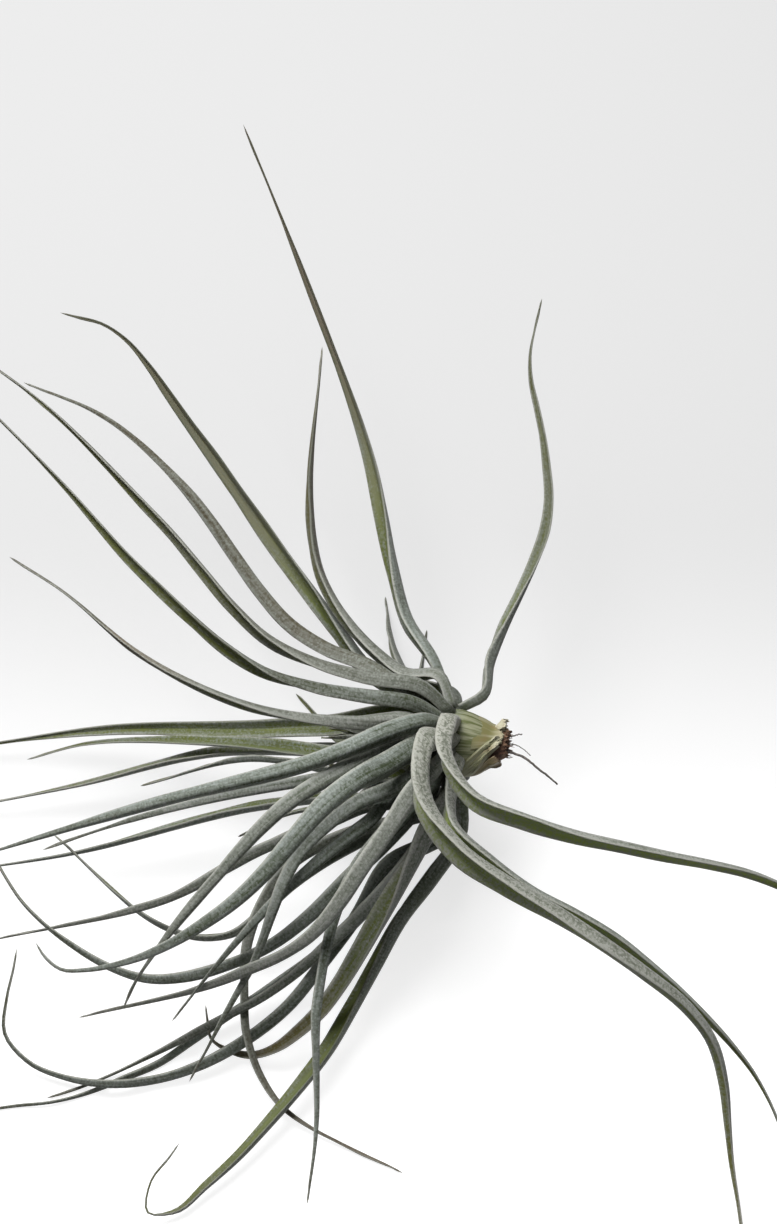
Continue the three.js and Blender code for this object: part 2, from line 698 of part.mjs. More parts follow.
// A thin closed shell over a grid of places, each given for its inner and its outer face. Both faces are
// split alike.
function shellSolid(rows, columns, place) {
  const vertices = [];
  for (const side of [0, 1])
    for (let r = 0; r <= rows; r++)
      for (let c = 0; c <= columns; c++) vertices.push(place(r / rows, c / columns, side));
  const at = (r, c, side) => (side * (rows + 1) + r) * (columns + 1) + c;
  const faces = [];
  const quad = (a, b, c, d) => faces.push([a, b, c], [a, c, d]);
  for (let r = 0; r < rows; r++) {
    for (let c = 0; c < columns; c++) {
      quad(at(r, c, 0), at(r + 1, c, 0), at(r + 1, c + 1, 0), at(r, c + 1, 0));
      quad(at(r + 1, c + 1, 1), at(r + 1, c, 1), at(r, c, 1), at(r, c + 1, 1));
    }
    quad(at(r, 0, 0), at(r, 0, 1), at(r + 1, 0, 1), at(r + 1, 0, 0));
    quad(at(r + 1, columns, 0), at(r + 1, columns, 1), at(r, columns, 1), at(r, columns, 0));
  }
  for (let c = 0; c < columns; c++) {
    quad(at(0, c + 1, 0), at(0, c + 1, 1), at(0, c, 1), at(0, c, 0));
    quad(at(rows, c, 0), at(rows, c, 1), at(rows, c + 1, 1), at(rows, c + 1, 0));
  }
  return solidOf(vertices, faces);
}

// A dry sheath: a patch of a cone round the stub, rounded at its front end.
function sheathSolid({ turn, span, along, lift }) {
  const [rows, columns] = [5, 8];
  return shellSolid(rows, columns, (r, c, side) => {
    const sideways = 2 * c - 1;
    const rounding = SHEATH_ROUNDING * sideways * sideways * (1 - r);
    const ahead = THREE.MathUtils.lerp(...along, r) - rounding;
    const back = THREE.MathUtils.clamp(-ahead / STUB_REACH, 0, 1);
    const onStub = THREE.MathUtils.lerp(...STUB_RADIUS, back);
    const onKnot = BASE_RADIUS * Math.sqrt(Math.max(0, 1 - ((ahead - KNOT_AHEAD) / BASE_LENGTH) ** 2));
    const radius = Math.max(onStub, onKnot) + THREE.MathUtils.lerp(...lift, r) + side * SHEATH_THICKNESS;
    const halfSpan = THREE.MathUtils.lerp(...span, r) / 2;
    return around(ahead, radius, THREE.MathUtils.lerp(...turn, r) + halfSpan * sideways);
  });
}

// The bud: a short core with the youngest leaves round it.
function budSolid() {
  const random = mulberry(11);
  const middle = KNOT_AHEAD + BASE_LENGTH + GAP + BUD_LENGTH / 2;
  const core = new THREE.SphereGeometry(1, 12, 8).scale(BUD_RADIUS, BUD_LENGTH / 2, BUD_RADIUS);
  let bud = solidFrom(core, alongShoot(middle));
  for (let i = 0; i < YOUNG_LEAVES; i++) {
    const turn = i * GOLDEN_TURN;
    const lean = THREE.MathUtils.degToRad(THREE.MathUtils.lerp(...YOUNG_LEAN, random()));
    const length = THREE.MathUtils.lerp(...YOUNG_LENGTH, random());
    const out = leaning(Math.PI / 2, turn);
    const foot = around(middle - BUD_LENGTH / 4, BUD_RADIUS / 3, THREE.MathUtils.radToDeg(turn));
    const rings = [];
    const tangent = leaning(lean, turn);
    const { across, inside } = frameOf(tangent, new THREE.Vector3().crossVectors(shoot, out).normalize(), 0);
    for (let r = 0; r < YOUNG_RINGS; r++) {
      const s = r / YOUNG_RINGS;
      const width = Math.max(TIP_WIDTH, YOUNG_WIDTH * Math.pow(1 - s, 0.8));
      rings.push(sectionAt(foot.clone().addScaledVector(tangent, s * length), across, inside, width));
    }
    bud = bud.add(bladeSolid(rings, foot.clone().addScaledVector(tangent, length)));
  }
  return bud;
}

function meshOf(name, solid, material) {
  const made = solid.getMesh();
  const geometry = new THREE.BufferGeometry();
  geometry.setAttribute("position", new THREE.BufferAttribute(made.vertProperties, 3));
  geometry.setIndex(new THREE.BufferAttribute(made.triVerts, 1));
  geometry.computeVertexNormals();
  const mesh = new THREE.Mesh(geometry, material);
  mesh.name = name;
  return mesh;
}

const blade = new THREE.MeshStandardMaterial({ color: 0x8a9384, roughness: 0.85, metalness: 0 });
const youngBlade = new THREE.MeshStandardMaterial({ color: 0x87986b, roughness: 0.8, metalness: 0 });
const dryStem = new THREE.MeshStandardMaterial({ color: 0x8a5a3c, roughness: 0.9, metalness: 0 });
const drySheath = new THREE.MeshStandardMaterial({ color: 0xc2bd8e, roughness: 0.7, metalness: 0 });

const plant = new THREE.Group();
plant.add(meshOf("stem", stemSolid(), dryStem));
for (const sheath of SHEATHS) plant.add(meshOf(sheath.name, sheathSolid(sheath), drySheath));
plant.add(meshOf("bud", budSolid(), youngBlade));
for (const leaf of growLeaves()) plant.add(meshOf(leaf.name, leafSolid(leaf), blade));

// The part's origin is on the surface, under the middle of the plant's box.
const box = new THREE.Box3().setFromObject(plant);
plant.position.set(-(box.min.x + box.max.x) / 2, -(box.min.y + box.max.y) / 2, -box.min.z);

export default plant;
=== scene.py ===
import math
import random

import bpy
import numpy as np
from bpy.props import FloatProperty, FloatVectorProperty, IntProperty, PointerProperty
from bpy.types import Operator, Panel, PropertyGroup
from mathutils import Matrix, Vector, noise


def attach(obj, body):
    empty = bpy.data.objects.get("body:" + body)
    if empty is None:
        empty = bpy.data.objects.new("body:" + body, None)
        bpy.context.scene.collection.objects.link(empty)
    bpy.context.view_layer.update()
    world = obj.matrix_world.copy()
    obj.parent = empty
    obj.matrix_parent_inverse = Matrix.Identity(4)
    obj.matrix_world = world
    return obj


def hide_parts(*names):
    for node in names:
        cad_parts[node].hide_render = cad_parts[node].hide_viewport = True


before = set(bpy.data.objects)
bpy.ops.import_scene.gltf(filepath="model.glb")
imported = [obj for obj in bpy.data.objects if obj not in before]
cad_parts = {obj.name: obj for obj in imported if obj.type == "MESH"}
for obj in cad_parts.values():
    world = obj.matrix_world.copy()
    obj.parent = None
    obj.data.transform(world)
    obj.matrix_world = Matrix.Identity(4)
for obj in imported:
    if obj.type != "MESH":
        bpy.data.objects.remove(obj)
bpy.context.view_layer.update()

bl_info = {
    "name": "Air plant",
    "version": (1, 0, 0),
    "blender": (4, 5, 0),
    "location": "View3D > Sidebar > Air plant",
    "description": "Builds a picked air plant with silvery channelled leaves, lying on its side",
    "category": "Add Mesh",
}

# The plant's own directions, as the one who looks down on it sees them
LOOK_DOWN = math.radians(60)
RIGHT = np.array([1.0, 0.0, 0.0])
UP = np.array([0.0, math.sin(LOOK_DOWN), math.cos(LOOK_DOWN)])
NEAR = np.array([0.0, -math.cos(LOOK_DOWN), math.sin(LOOK_DOWN)])
HEART = np.array([0.0165, -0.02797, 0.044])  # the middle of the leaf bases
SHOOT = -0.98 * RIGHT + 0.1 * UP - 0.17 * NEAR
SHOOT /= np.linalg.norm(SHOOT)
SHOOT_UP = UP - UP.dot(SHOOT) * SHOOT
SHOOT_UP /= np.linalg.norm(SHOOT_UP)
SHOOT_NEAR = np.cross(SHOOT_UP, SHOOT)
MM = 0.001

# The knot of clasped leaf bases: where it lies, how finely it is made and how the rims stand on it
KNOT_AHEAD = 6 * MM
KNOT_LENGTH = 15 * MM
KNOT_RADIUS = 10.5 * MM
KNOT_GRID = (56, 96)
KNOT_ENDS = 0.985  # the knot is left open a little at its ends, inside the stub and the bud
BASES = 34
BASE_SPREAD = 0.95  # of the way to the knot's ends
BASE_SIZE = (0.75, 0.34)
BASE_BACK = 0.3  # how far back from its middle a base's rim runs
RIM_POWER = 0.35
RIM_VARIETY = 0.25
BETWEEN_BASES = 0.94
RIM_HEIGHT = 0.07

# The stub behind it, its ragged end and the fibres that stand out of the break
STUB_REACH = 12.5 * MM
STUB_RADIUS = (7.4 * MM, 4.3 * MM)
STUB_RISE = 13  # the stub bends up by this times the square of the way along it
STUB_GRID = (26, 64)
STUB_LUMPS = (25, 4)  # one to so many degrees, and so many along it
STUB_SHAPE = (0.96, 0.05, 0.03)  # its girth, and what lumps and ribs add
RAGGED_SHARE = 0.3  # of the stub, over which its columns end
RAGGED_DEPTH = (1.4 * MM, 0.5 * MM)
BREAK_RINGS = 6
BREAK_DISH = 1.2 * MM
BREAK_RADIUS = 0.94 * STUB_RADIUS[1]
BREAK_LUMPS = 3
BREAK_ROUGH = (0.8, 0.6)
FIBRES = 90
FIBRE_SPREAD = (0.05, 0.95)  # of the break's area
FIBRE_ROOT = (1.8, 2.6)
FIBRE_REACH = (0.3, 2.3)
FIBRE_LEAN = 0.25
FIBRE_BEND = 0.12
FIBRE_RADII = (0.28, 0.05)
FIBRE_POINTS = 5
BLUNT = 0.02  # no taper goes on below this share

# The dry sheaths: the node that each stands for, the middle and the breadth in degrees round the shoot, how
# far the two ends lie ahead of the heart and how far they stand off the stub, in millimetres, and how green,
# how tan and how pale they are
SHEATHS = (
    ("sheath_upper", (24, 22), (160, 128), (4.5, -10.8), (-1.0, 0.3), (1, 0.3, 0)),
    ("sheath_front", (148, 78), (60, 30), (1.5, -10.2), (-0.2, 0.9), (0.75, 0, 0.2)),
    ("sheath_lower", (192, 158), (76, 84), (0, -10.2), (-0.3, 1.2), (0.45, 0.8, 0)),
    ("sheath_far", (272, 268), (60, 50), (-1.5, -11), (0.3, 0.4), (0.5, 0.5, 0)),
    ("sheath_tip", (6, 2), (56, 84), (-7.0, -10.8), (0.1, 2.4), (0, 0, 1.4)),
)
TEAR_KNOTS = 13
TEAR_JITTER = 0.35
DEEPEST_TEAR = 1.2
FRONT_CURVE = 1.6
SHEATH_RIPPLES = (9, 2)
SHEATH_PATTERN = (5, 8)

# The rootlets, as [right, up, near] from the heart in millimetres, and their thickness
ROOTLETS = (
    (((10, -1.5, 2), (16, -3.5, 5), (21, -7.5, 5), (26, -11.5, 4)), 0.9),
    (((10, 0.5, 1), (14, 0, 3), (18, -3, 4)), 0.4),
    (((9, 2, 0), (13, 2.8, 1), (15.5, 3.4, 1)), 0.6),
)
ROOTLET_POINTS = 26
ROOTLET_SHAKE = 0.06 * MM
ROOTLET_TIP = 0.6

# The youngest leaves and the core that they stand on
YOUNG_LEAVES = 5
YOUNG_BARENESS = 0.15
YOUNG_LENGTH = (16 * MM, 24 * MM)
YOUNG_LEAN = (3, 6)
YOUNG_WIDTH = 3.6 * MM
YOUNG_TAPER = 0.8
YOUNG_FOLD = 0.3
YOUNG_SKIN = 0.3
YOUNG_RINGS = 30
BUD_RADIUS = 2.6 * MM
BUD_LENGTH = 9 * MM
BUD_RINGS = 12
BUD_TIP = 0.98
GOLDEN_TURN = math.radians(137.5)

# Leaves. A row of a tone is a place along the length, and how dark, how brown and how bare of scales a leaf
# is there, all in hundredths. Dark at a tip is dried tissue; dark at the feet, by the heart, and all along
# the far leaves under the others is painted shade. Under zero is a brighter green and a denser frost; on
# the loops 32 to 34 the green is painted light, and the frost partly so.
SEEN_LEAVES = 34  # the leaves after these fill the far side, under the others
# PLAIN is darker at the foot, which is painted shade of the crowded heart, and at the tip, which is dried
PLAIN = ((0, 60, 0, 60), (10, 35, 0, 35), (22, 0, 0, 0), (60, 10, 5, 0), (85, 35, 15, 10), (100, 50, 45, 20))
# DEEP is dark all along: painted shade on the far leaves that lie under the others
DEEP = ((0, 50, 0, 40), (50, 45, 0, 30), (100, 60, 30, 30))
DARK_TIP = (100, 80, 40, 40)
DRY_TIP = (100, 70, 100, 80)
TONES = {
    1: ((0, 10, 0, 20), (20, 50, 0, 0), (50, 110, 15, -30), (75, 110, 25, -30), (100, 140, 40, 30)),
    2: ((0, 0, 0, 10), (30, 50, 10, 35), (45, 120, 30, 50), (62, 240, 50, 80), (100, 260, 60, 90)),
    3: ((0, 0, 0, 10), (35, 30, 15, 15), (55, 130, 50, 30), (80, 160, 60, 40), (100, 100, 70, 50)),
    4: ((0, 20, 0, 30), (30, 60, 5, 50), (50, 150, 30, 60), (80, 200, 40, 60), (100, 150, 50, 80)),
    5: ((0, 40, 10, 10), (30, 50, 50, 15), (70, 55, 50, 20), (100, 70, 50, 30)),
    6: ((0, 40, 0, 30), (40, 45, 30, 40), (75, 55, 30, 30), DARK_TIP),
    7: ((0, 30, 0, 50), (40, 30, 20, 60), (75, 50, 25, 30), DARK_TIP),
    8: ((0, 20, 0, 20), (50, 35, 10, 20), (72, 30, 110, 20), (78, 50, 30, 20), DARK_TIP),
    24: ((0, 0, 0, 0), (60, 30, 20, 10), (80, 80, 70, 60), DRY_TIP),
    29: ((0, 10, 0, 30), (50, 10, 5, 25), (70, 0, 75, 10), (90, 40, 100, 50), DRY_TIP),
    30: ((0, 20, 0, 60), (20, 0, 0, 150), (70, 10, 5, 120), (85, 50, 20, 50), (100, 60, 50, 40)),
    32: ((0, -30, 0, -80), (18, -60, 0, -60), (35, -100, 0, -30), (70, -100, 5, -20), (100, 20, 30, 20)),
    33: ((0, -40, 0, -60), (25, -60, 5, -50), (60, -60, 10, -40), (80, 0, 35, 0), (100, 50, 60, 20)),
    34: ((0, -50, 0, -60), (25, -80, 0, -40), (60, -60, 10, -20), (100, 50, 40, 30)),
}

# How far a blade is turned about its midrib, as rows of a share of its length and degrees
ROLLS = {
    6: ((0.05, 0), (0.2, 18), (0.5, 0)),
    7: ((0.05, 0), (0.2, 30), (0.5, 0)),
    8: ((0.05, 0), (0.2, 22), (0.5, 0)),
    32: ((0, 50), (0.12, 45), (0.35, -7), (1, -12)),
    33: ((0, 20), (0.3, -2), (1, -6)),
}

# How much wider than packed a blade is, as rows of a share of its length and a factor
AS_PACKED = ((0, 1),)
WIDENING = {
    1: ((0, 0.9), (0.3, 0.72), (1, 0.7)),
    2: ((0, 1), (0.35, 0.95), (0.6, 0.6), (1, 0.7)),
    32: ((0, 1.15),),
    33: ((0, 1.15),),
    34: ((0, 1.1),),
}

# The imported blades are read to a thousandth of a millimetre, and their sections have six corners
WELD_DIGITS = 6
SECTION = 6

# The shape of the fine blades. A taper is what it takes away, and between which shares of the length.
RING_CROWDING = 0.92  # rings stand closer towards the foot
FOOT_SHARE = (0.1, 0.22)
TAPER = (0.42, 0.7, 0.97)
TIP_TAPER = (0.6, 0.95, 1.0)
LEAST_WIDTH = 0.2 * MM
GROWTH = (0.3, 3.0)  # the least and the most that a width is multiplied by
WANDER_KNOTS = 14  # between which an edge wanders
ROUNDING_DEPTH = 0.9
FULL_WIDTH = 4 * MM  # blades from this width on are as thick as they get
EDGE_POWER = 1.5
NO_TUBE = (0.31, 0.2, 0.93)  # a direction that no tube runs in

# The own numbers of pieces, which part the patterns of one from another's
LEAF_STEP, SHEATH_STEP = 0.61803, 0.37
KNOT_PATTERN, TUBE_PATTERN = 0.3, 0.5

# Patterns: how many to a metre, how many finer ones lie over each, and how rough they are
LEAF_GRAIN = (900, 2, 0.6)
LEAF_PATCHES = (60, 2, 0.5)
LEAF_VEINS = (1500, 3, 0.65)
LEAF_LINES = (420, 2, 0.5)
LEAF_SCALES = 2300
SHEATH_RIBS = (1400, 2, 0.5)
SHEATH_BLOTCHES = (260, 3, 0.6)
BASE_RIBS = (800, 3, 0.6)
BASE_GRAIN = (2200, 2, 0.6)
STUB_GRAIN = (900, 4, 0.65)
STUB_PATCHES = (220, 2, 0.5)
ROOTLET_GRAIN = (1200, 3, 0.6)

# How broad the streaks of a pattern are for their length
SCALE_STRETCH, LEAF_STRETCH, SHEATH_STRETCH, BASE_STRETCH = 0.75, 0.03, 0.08, 0.1

# How much of the tissue the scales cover, on the outer face and in the channel, from leaf to leaf, by each
# pattern, and how much less where it is bare, and where its channel is painted lighter
FACE_COVER = (0.6, 0.26)
OWN_COVER = (-0.1, 0.12)
PATTERN_COVER = (0.5, 0.45, 0.4, 1.9, 1.1)
BARE_COVER, PAINTED_LIGHT_COVER = 0.4, 0.18

# Ramps: from which value to which something changes, and from what to what
EDGE_COVER = (0.6, 1, 0, 0.5)
SCALE_RIM = (0.3, 0.8, 1, 0.72)
VEIN_SHADE = (0.35, 0.7, 0, 0.5)
FOOT_GREEN = (0, 0.14, 0.5, 0)
DARK_FACE = (0, 1, 1, 0.35)
# Frost where bareness is under zero: partly painted light on the loops 32 to 34
FROST_DENSITY = (0, -0.8)
FROST_SPECKS = (0.1, 0.6, 0.5, 0)
PALE_MARGIN = (0.82, 1, 0, 0.7)
DARK_MARGIN = (0.5, 2, 1, 0)
LEAF_ROUGHNESS = (0, 1, 0.55, 0.85)
RIB_ON_SHEATH = (0.46, 0.68, 0, 0.4)
STAIN_ON_SHEATH = (0.5, 0.72, 0, 0.6)
TORN_END = (0.75, 1, 0, 0.5)
RIB_ON_BASE = (0.42, 0.62)
SILVER_GRAIN = (0.36, 0.62)
SILVER_AHEAD = (0.3, 0.6, 0.05, 0.85)
# Painted shade on the leaf bases: in the hollows between the rims, and ahead among the leaves
BASE_CREVICE_SHADE = (0, 0.5, 0.55, 0)
SHADE_AHEAD = (0.45, 0.7, 0, 0.75)
DARK_FIBRES = (0.35, 0.65)
TAN_FIBRES = (0.42, 0.64, 0, 0.75)
GREEN_STUB = (0, 0.6, 0.8, 0)
PALE_ROOTLET = (0.3, 0.7)

# The camera's place and field, the floor and the lights, from the heart
CAMERA_DISTANCE = 0.9
PIXEL = 0.3  # what a pixel of the picture spans where the heart is, in millimetres
PICTURE_HEIGHT = 1224
PICTURE_MIDDLE = (-24.5 * MM, 39.9 * MM)
FLOOR_HALF = 6.0
FLOOR_DROP = 0.2 * MM
KEY_PLACE, KEY_SIZE = HEART + 0.8 * UP + 0.65 * NEAR - 0.25 * RIGHT, 0.6
FILL_PLACE, FILL_SIZE = HEART + 1.1 * NEAR - 0.5 * UP - 0.4 * RIGHT, 1.2
STEEP = 0.8  # the room's light is full from this height on, above and below
SIDE_LIGHT = 0.15


def seen(point):
    """A place given as [right, up, near] from the heart, in millimetres."""
    right, up, near = (MM * c for c in point)
    return HEART + right * RIGHT + up * UP + near * NEAR


def around(along, radius, turn):
    """A place round the shoot: so far ahead of the heart and from the axis, at a turn in degrees from up."""
    t = math.radians(turn)
    axis = HEART + along * SHOOT + STUB_RISE * min(0.0, along) ** 2 * SHOOT_UP
    return axis + radius * (math.cos(t) * SHOOT_UP + math.sin(t) * SHOOT_NEAR)


def knot_radius(q):
    """The radius of the knot from its back, at -1, to its front, at 1."""
    return KNOT_RADIUS * math.sqrt(max(0.0, 1 - q * q))


def smoothstep(value, low, high):
    t = np.clip((value - low) / (high - low), 0, 1)
    return t * t * (3 - 2 * t)


def unit(rows):
    return rows / np.maximum(np.linalg.norm(rows, axis=-1, keepdims=True), 1e-12)


def between(ends, share):
    return ends[0] + (ends[1] - ends[0]) * share


def lengths(points):
    """How far along their path each of some points is."""
    return np.concatenate([[0], np.cumsum(np.linalg.norm(np.diff(points, axis=0), axis=1))])


def ring_faces(rings, count, order):
    """The faces between rings of corners. A face takes its corners in an order of 0 here, 1 beside it on the
    ring, 2 ahead of that one and 3 ahead of here."""
    faces = []
    for start in range(0, (rings - 1) * count, count):
        for c in range(count):
            here, beside = start + c, start + (c + 1) % count
            corners = (here, beside, beside + count, here + count)
            faces.append(tuple(corners[k] for k in order))
    return faces


def spots(share, own):
    """The marks of a piece without edges: its share of the length and its own number."""
    return np.stack([np.zeros_like(share), share, np.full_like(share, own)], -1)


# Packed blades


def welded(node):
    """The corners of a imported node, each once, and its triangles."""
    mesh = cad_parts[node].data
    places = np.array([v.co[:] for v in mesh.vertices])
    corners, index = np.unique(np.round(places, WELD_DIGITS), axis=0, return_inverse=True)
    index = index.reshape(-1)
    return corners, [[int(index[v]) for v in p.vertices] for p in mesh.polygons]


def layers_from(start, near):
    """The corners of a mesh by their distance from one of them."""
    reached = {start}
    layers = [[start]]
    while True:
        beyond = sorted({q for p in layers[-1] for q in near[p]} - reached)
        if not beyond:
            return layers
        reached.update(beyond)
        layers.append(beyond)


def sections_of(node):
    """A packed blade's sections from foot to tip, as (section, corner, xyz), and the place of its tip.

    Corners 0, 1 and 2 are the left, the valley and the right of the channel, and 3 to 5 come back outside."""
    corners, triangles = welded(node)
    near = [set() for _ in corners]
    for triangle in triangles:
        for p in triangle:
            near[p] |= set(triangle) - {p}
    for start in range(len(corners)):
        layers = layers_from(start, near)
        if len(layers) > 2 and all(len(layer) == SECTION for layer in layers[1:]):
            break
    else:
        raise RuntimeError(node + " isn't made of sections")
    depth = {p: d for d, layer in enumerate(layers) for p in layer}
    cycles = {}
    for triangle in triangles:
        if len({depth[p] for p in triangle}) == 1:
            continue
        for p, q in zip(triangle, triangle[1:] + triangle[:1]):
            if depth[p] == depth[q]:
                cycles.setdefault(p, set()).add(q)
                cycles.setdefault(q, set()).add(p)
    rows = []
    for layer in layers[:0:-1]:
        order = [layer[0], min(cycles[layer[0]])]
        while len(order) < SECTION:
            order.append(next(q for q in cycles[order[-1]] if q != order[-2]))
        rows.append(corners[order])
    rows = np.array(rows)
    middle = len(rows) // 2
    rows[middle] = labelled(rows[middle])
    for r in range(middle + 1, len(rows)):
        rows[r] = aligned(rows[r], rows[r - 1])
    for r in range(middle - 1, -1, -1):
        rows[r] = aligned(rows[r], rows[r + 1])
    tip = corners[layers[0][0]]
    # The left edge lies where cross(tangent, across) points into the channel
    tangent = rows[middle + 1].mean(axis=0) - rows[middle - 1].mean(axis=0)
    across = rows[middle][2] - rows[middle][0]
    if np.cross(tangent, across).dot(rows[middle][1] - rows[middle][4]) < 0:
        rows = rows[:, [2, 1, 0, 5, 4, 3]]
    return rows, tip


def labelled(ring):
    """A section's corners from its left edge on, told by its two blunt edges and its keel."""
    length = [np.linalg.norm(ring[i] - ring[(i + 1) % SECTION]) for i in range(SECTION)]
    first = min(range(3), key=lambda i: length[i] + length[i + 3])
    ring = np.roll(ring, -(first + 1), axis=0)
    edges = ring[[0, 2, 3, 5]].mean(axis=0)
    if np.linalg.norm(ring[1] - edges) > np.linalg.norm(ring[4] - edges):
        ring = np.roll(ring, -3, axis=0)
    return ring


def aligned(ring, beside):
    """A section's corners in the order of the section beside it."""
    centred = beside - beside.mean(axis=0)
    choices = [np.roll(way, k, axis=0) for way in (ring, ring[::-1]) for k in range(SECTION)]
    return min(choices, key=lambda c: float((((c - c.mean(axis=0)) - centred) ** 2).sum()))


def smooth_rows(rows, times, at):
    """A smooth curve through rows at given times, read at other times."""
    tall = (-1,) + (1,) * (rows.ndim - 1)
    steps = np.diff(times)
    rates = np.diff(rows, axis=0) / steps.reshape(tall)
    share = (steps[:-1] / (steps[:-1] + steps[1:])).reshape(tall)
    slopes = np.concatenate([rates[:1], rates[:-1] * (1 - share) + rates[1:] * share, rates[-1:]])
    k = np.clip(np.searchsorted(times, at, side="right") - 1, 0, len(steps) - 1)
    t = ((at - times[k]) / steps[k]).reshape(tall)
    h = steps[k].reshape(tall)
    return (
        (2 * t**3 - 3 * t**2 + 1) * rows[k]
        + (t**3 - 2 * t**2 + t) * h * slopes[k]
        + (-2 * t**3 + 3 * t**2) * rows[k + 1]
        + (t**3 - t**2) * h * slopes[k + 1]
    )


# Fine blades


def fine_blade(left, right, valley, keel, settings, seed, tone):
    """Vertices, faces and marks of a blade from the rows of its two edges, its valley and its keel.

    The marks of a vertex are its place across and along in metres and its face, how near it is to an edge,
    its share of the length and the blade's own number, and how dark, how brown and how bare it is."""
    rng = np.random.default_rng(seed)
    middle = (valley + keel) / 2
    along = lengths(middle)
    share = along / along[-1]
    half = settings.across // 2
    u = np.linspace(-1, 1, 2 * half + 1)
    a = np.abs(u)
    edge_mid = (left + right) / 2
    depth = (edge_mid - middle) * settings.deepening
    middle = edge_mid - depth * (1 + 1 / settings.deepening) / 2
    left, right = (edge + depth * (1 - 1 / settings.deepening) / 2 for edge in (left, right))
    depth = (left + right) / 2 - middle
    rounding = a - a**settings.roundness
    side = np.where(u[:, None] < 0, left[:, None], right[:, None])
    knots = np.linspace(0, 1, WANDER_KNOTS)
    wander = np.interp(share, knots, rng.uniform(-1, 1, WANDER_KNOTS)) * settings.edge_wave
    place = middle[:, None] + (side - middle[:, None]) * a[:, None]
    place = place - depth[:, None] * (rounding[:, None] * ROUNDING_DEPTH)
    place = place + unit(depth)[:, None] * (wander[:, None, None] * (u * a)[:, None])
    tangent = unit(np.gradient(place, axis=0))
    sideways = unit(np.gradient(place, axis=1))
    inward = unit(np.cross(tangent, sideways))
    width = np.linalg.norm(right - left, axis=1)
    full = settings.thickness * np.clip(width / FULL_WIDTH, 0.5, 1)
    thin = np.minimum(settings.edge_thickness, full)
    thickness = full[:, None] + (thin - full)[:, None] * a**EDGE_POWER
    inner = place + inward * thickness[:, :, None] / 2
    outer = place - inward * thickness[:, :, None] / 2
    ring = np.concatenate([inner, outer[:, ::-1]], axis=1)
    rings, count = ring.shape[:2]
    faces = ring_faces(rings, count, (0, 3, 2, 1))
    faces.append(tuple(range(count)))
    faces.append(tuple(range((rings - 1) * count, rings * count))[::-1])
    u = np.tile(np.concatenate([u, u[::-1]]), rings)
    face = np.tile(np.repeat([1.0, 0.0], count // 2), rings)
    width, along, share = (np.repeat(row, count) for row in (width, along, share))
    first = np.stack([u * width / 2, along, face], -1)
    second = np.stack([np.abs(u), share, np.full_like(share, (seed * LEAF_STEP) % 1)], -1)
    keys = np.array(tone) / 100
    third = np.stack([np.interp(share, keys[:, 0], keys[:, k]) for k in (1, 2, 3)], -1)
    return ring.reshape(-1, 3), faces, first, second, third


def leaf_rows(node, widening, settings):
    """The fine rows of a leaf's edges, valley and keel, from its packed sections."""
    sections, tip = sections_of(node)
    left = (sections[:, 0] + sections[:, 5]) / 2
    right = (sections[:, 2] + sections[:, 3]) / 2
    rows = np.stack([left, right, sections[:, 1], sections[:, 4]], axis=1)
    rows = np.concatenate([rows, np.repeat(tip[None, None, :], 4, axis=1)])
    times = lengths((rows[:, 2] + rows[:, 3]) / 2)
    at = np.linspace(0, 1, settings.along + 1) ** RING_CROWDING * times[-1]
    fine = smooth_rows(rows, times, at)
    middle = (fine[:, 2] + fine[:, 3]) / 2
    share = at / at[-1]
    width = np.linalg.norm(fine[:, 1] - fine[:, 0], axis=1)
    # The foot clasps the knot, and the tip thins to a thread
    wanted = np.maximum(width, settings.foot_width * (1 - smoothstep(share, *FOOT_SHARE)))
    wanted = wanted * np.interp(share, *zip(*widening))
    for loss, *stretch in (TAPER, TIP_TAPER):
        wanted = wanted * (1 - loss * smoothstep(share, *stretch))
    grow = np.clip(wanted / np.maximum(width, LEAST_WIDTH), *GROWTH)[:, None, None]
    fine[:, :2] = middle[:, None] + (fine[:, :2] - middle[:, None]) * grow
    fine[-1, :2] = fine[-1, 2:]
    return fine


def rolled(rows, keys):
    """Blade rows turned about their midrib by keyed angles."""
    keys = np.array(keys)
    middle = (rows[:, 2] + rows[:, 3]) / 2
    along = lengths(middle)
    axis = unit(np.gradient(middle, axis=0))[:, None]
    angle = np.radians(np.interp(along / along[-1], keys[:, 0], keys[:, 1]))[:, None, None]
    arm = rows - middle[:, None]
    upright = axis * (axis * arm).sum(axis=-1, keepdims=True)
    turned = (arm - upright) * np.cos(angle) + np.cross(axis, arm) * np.sin(angle)
    return middle[:, None] + upright + turned


# Materials


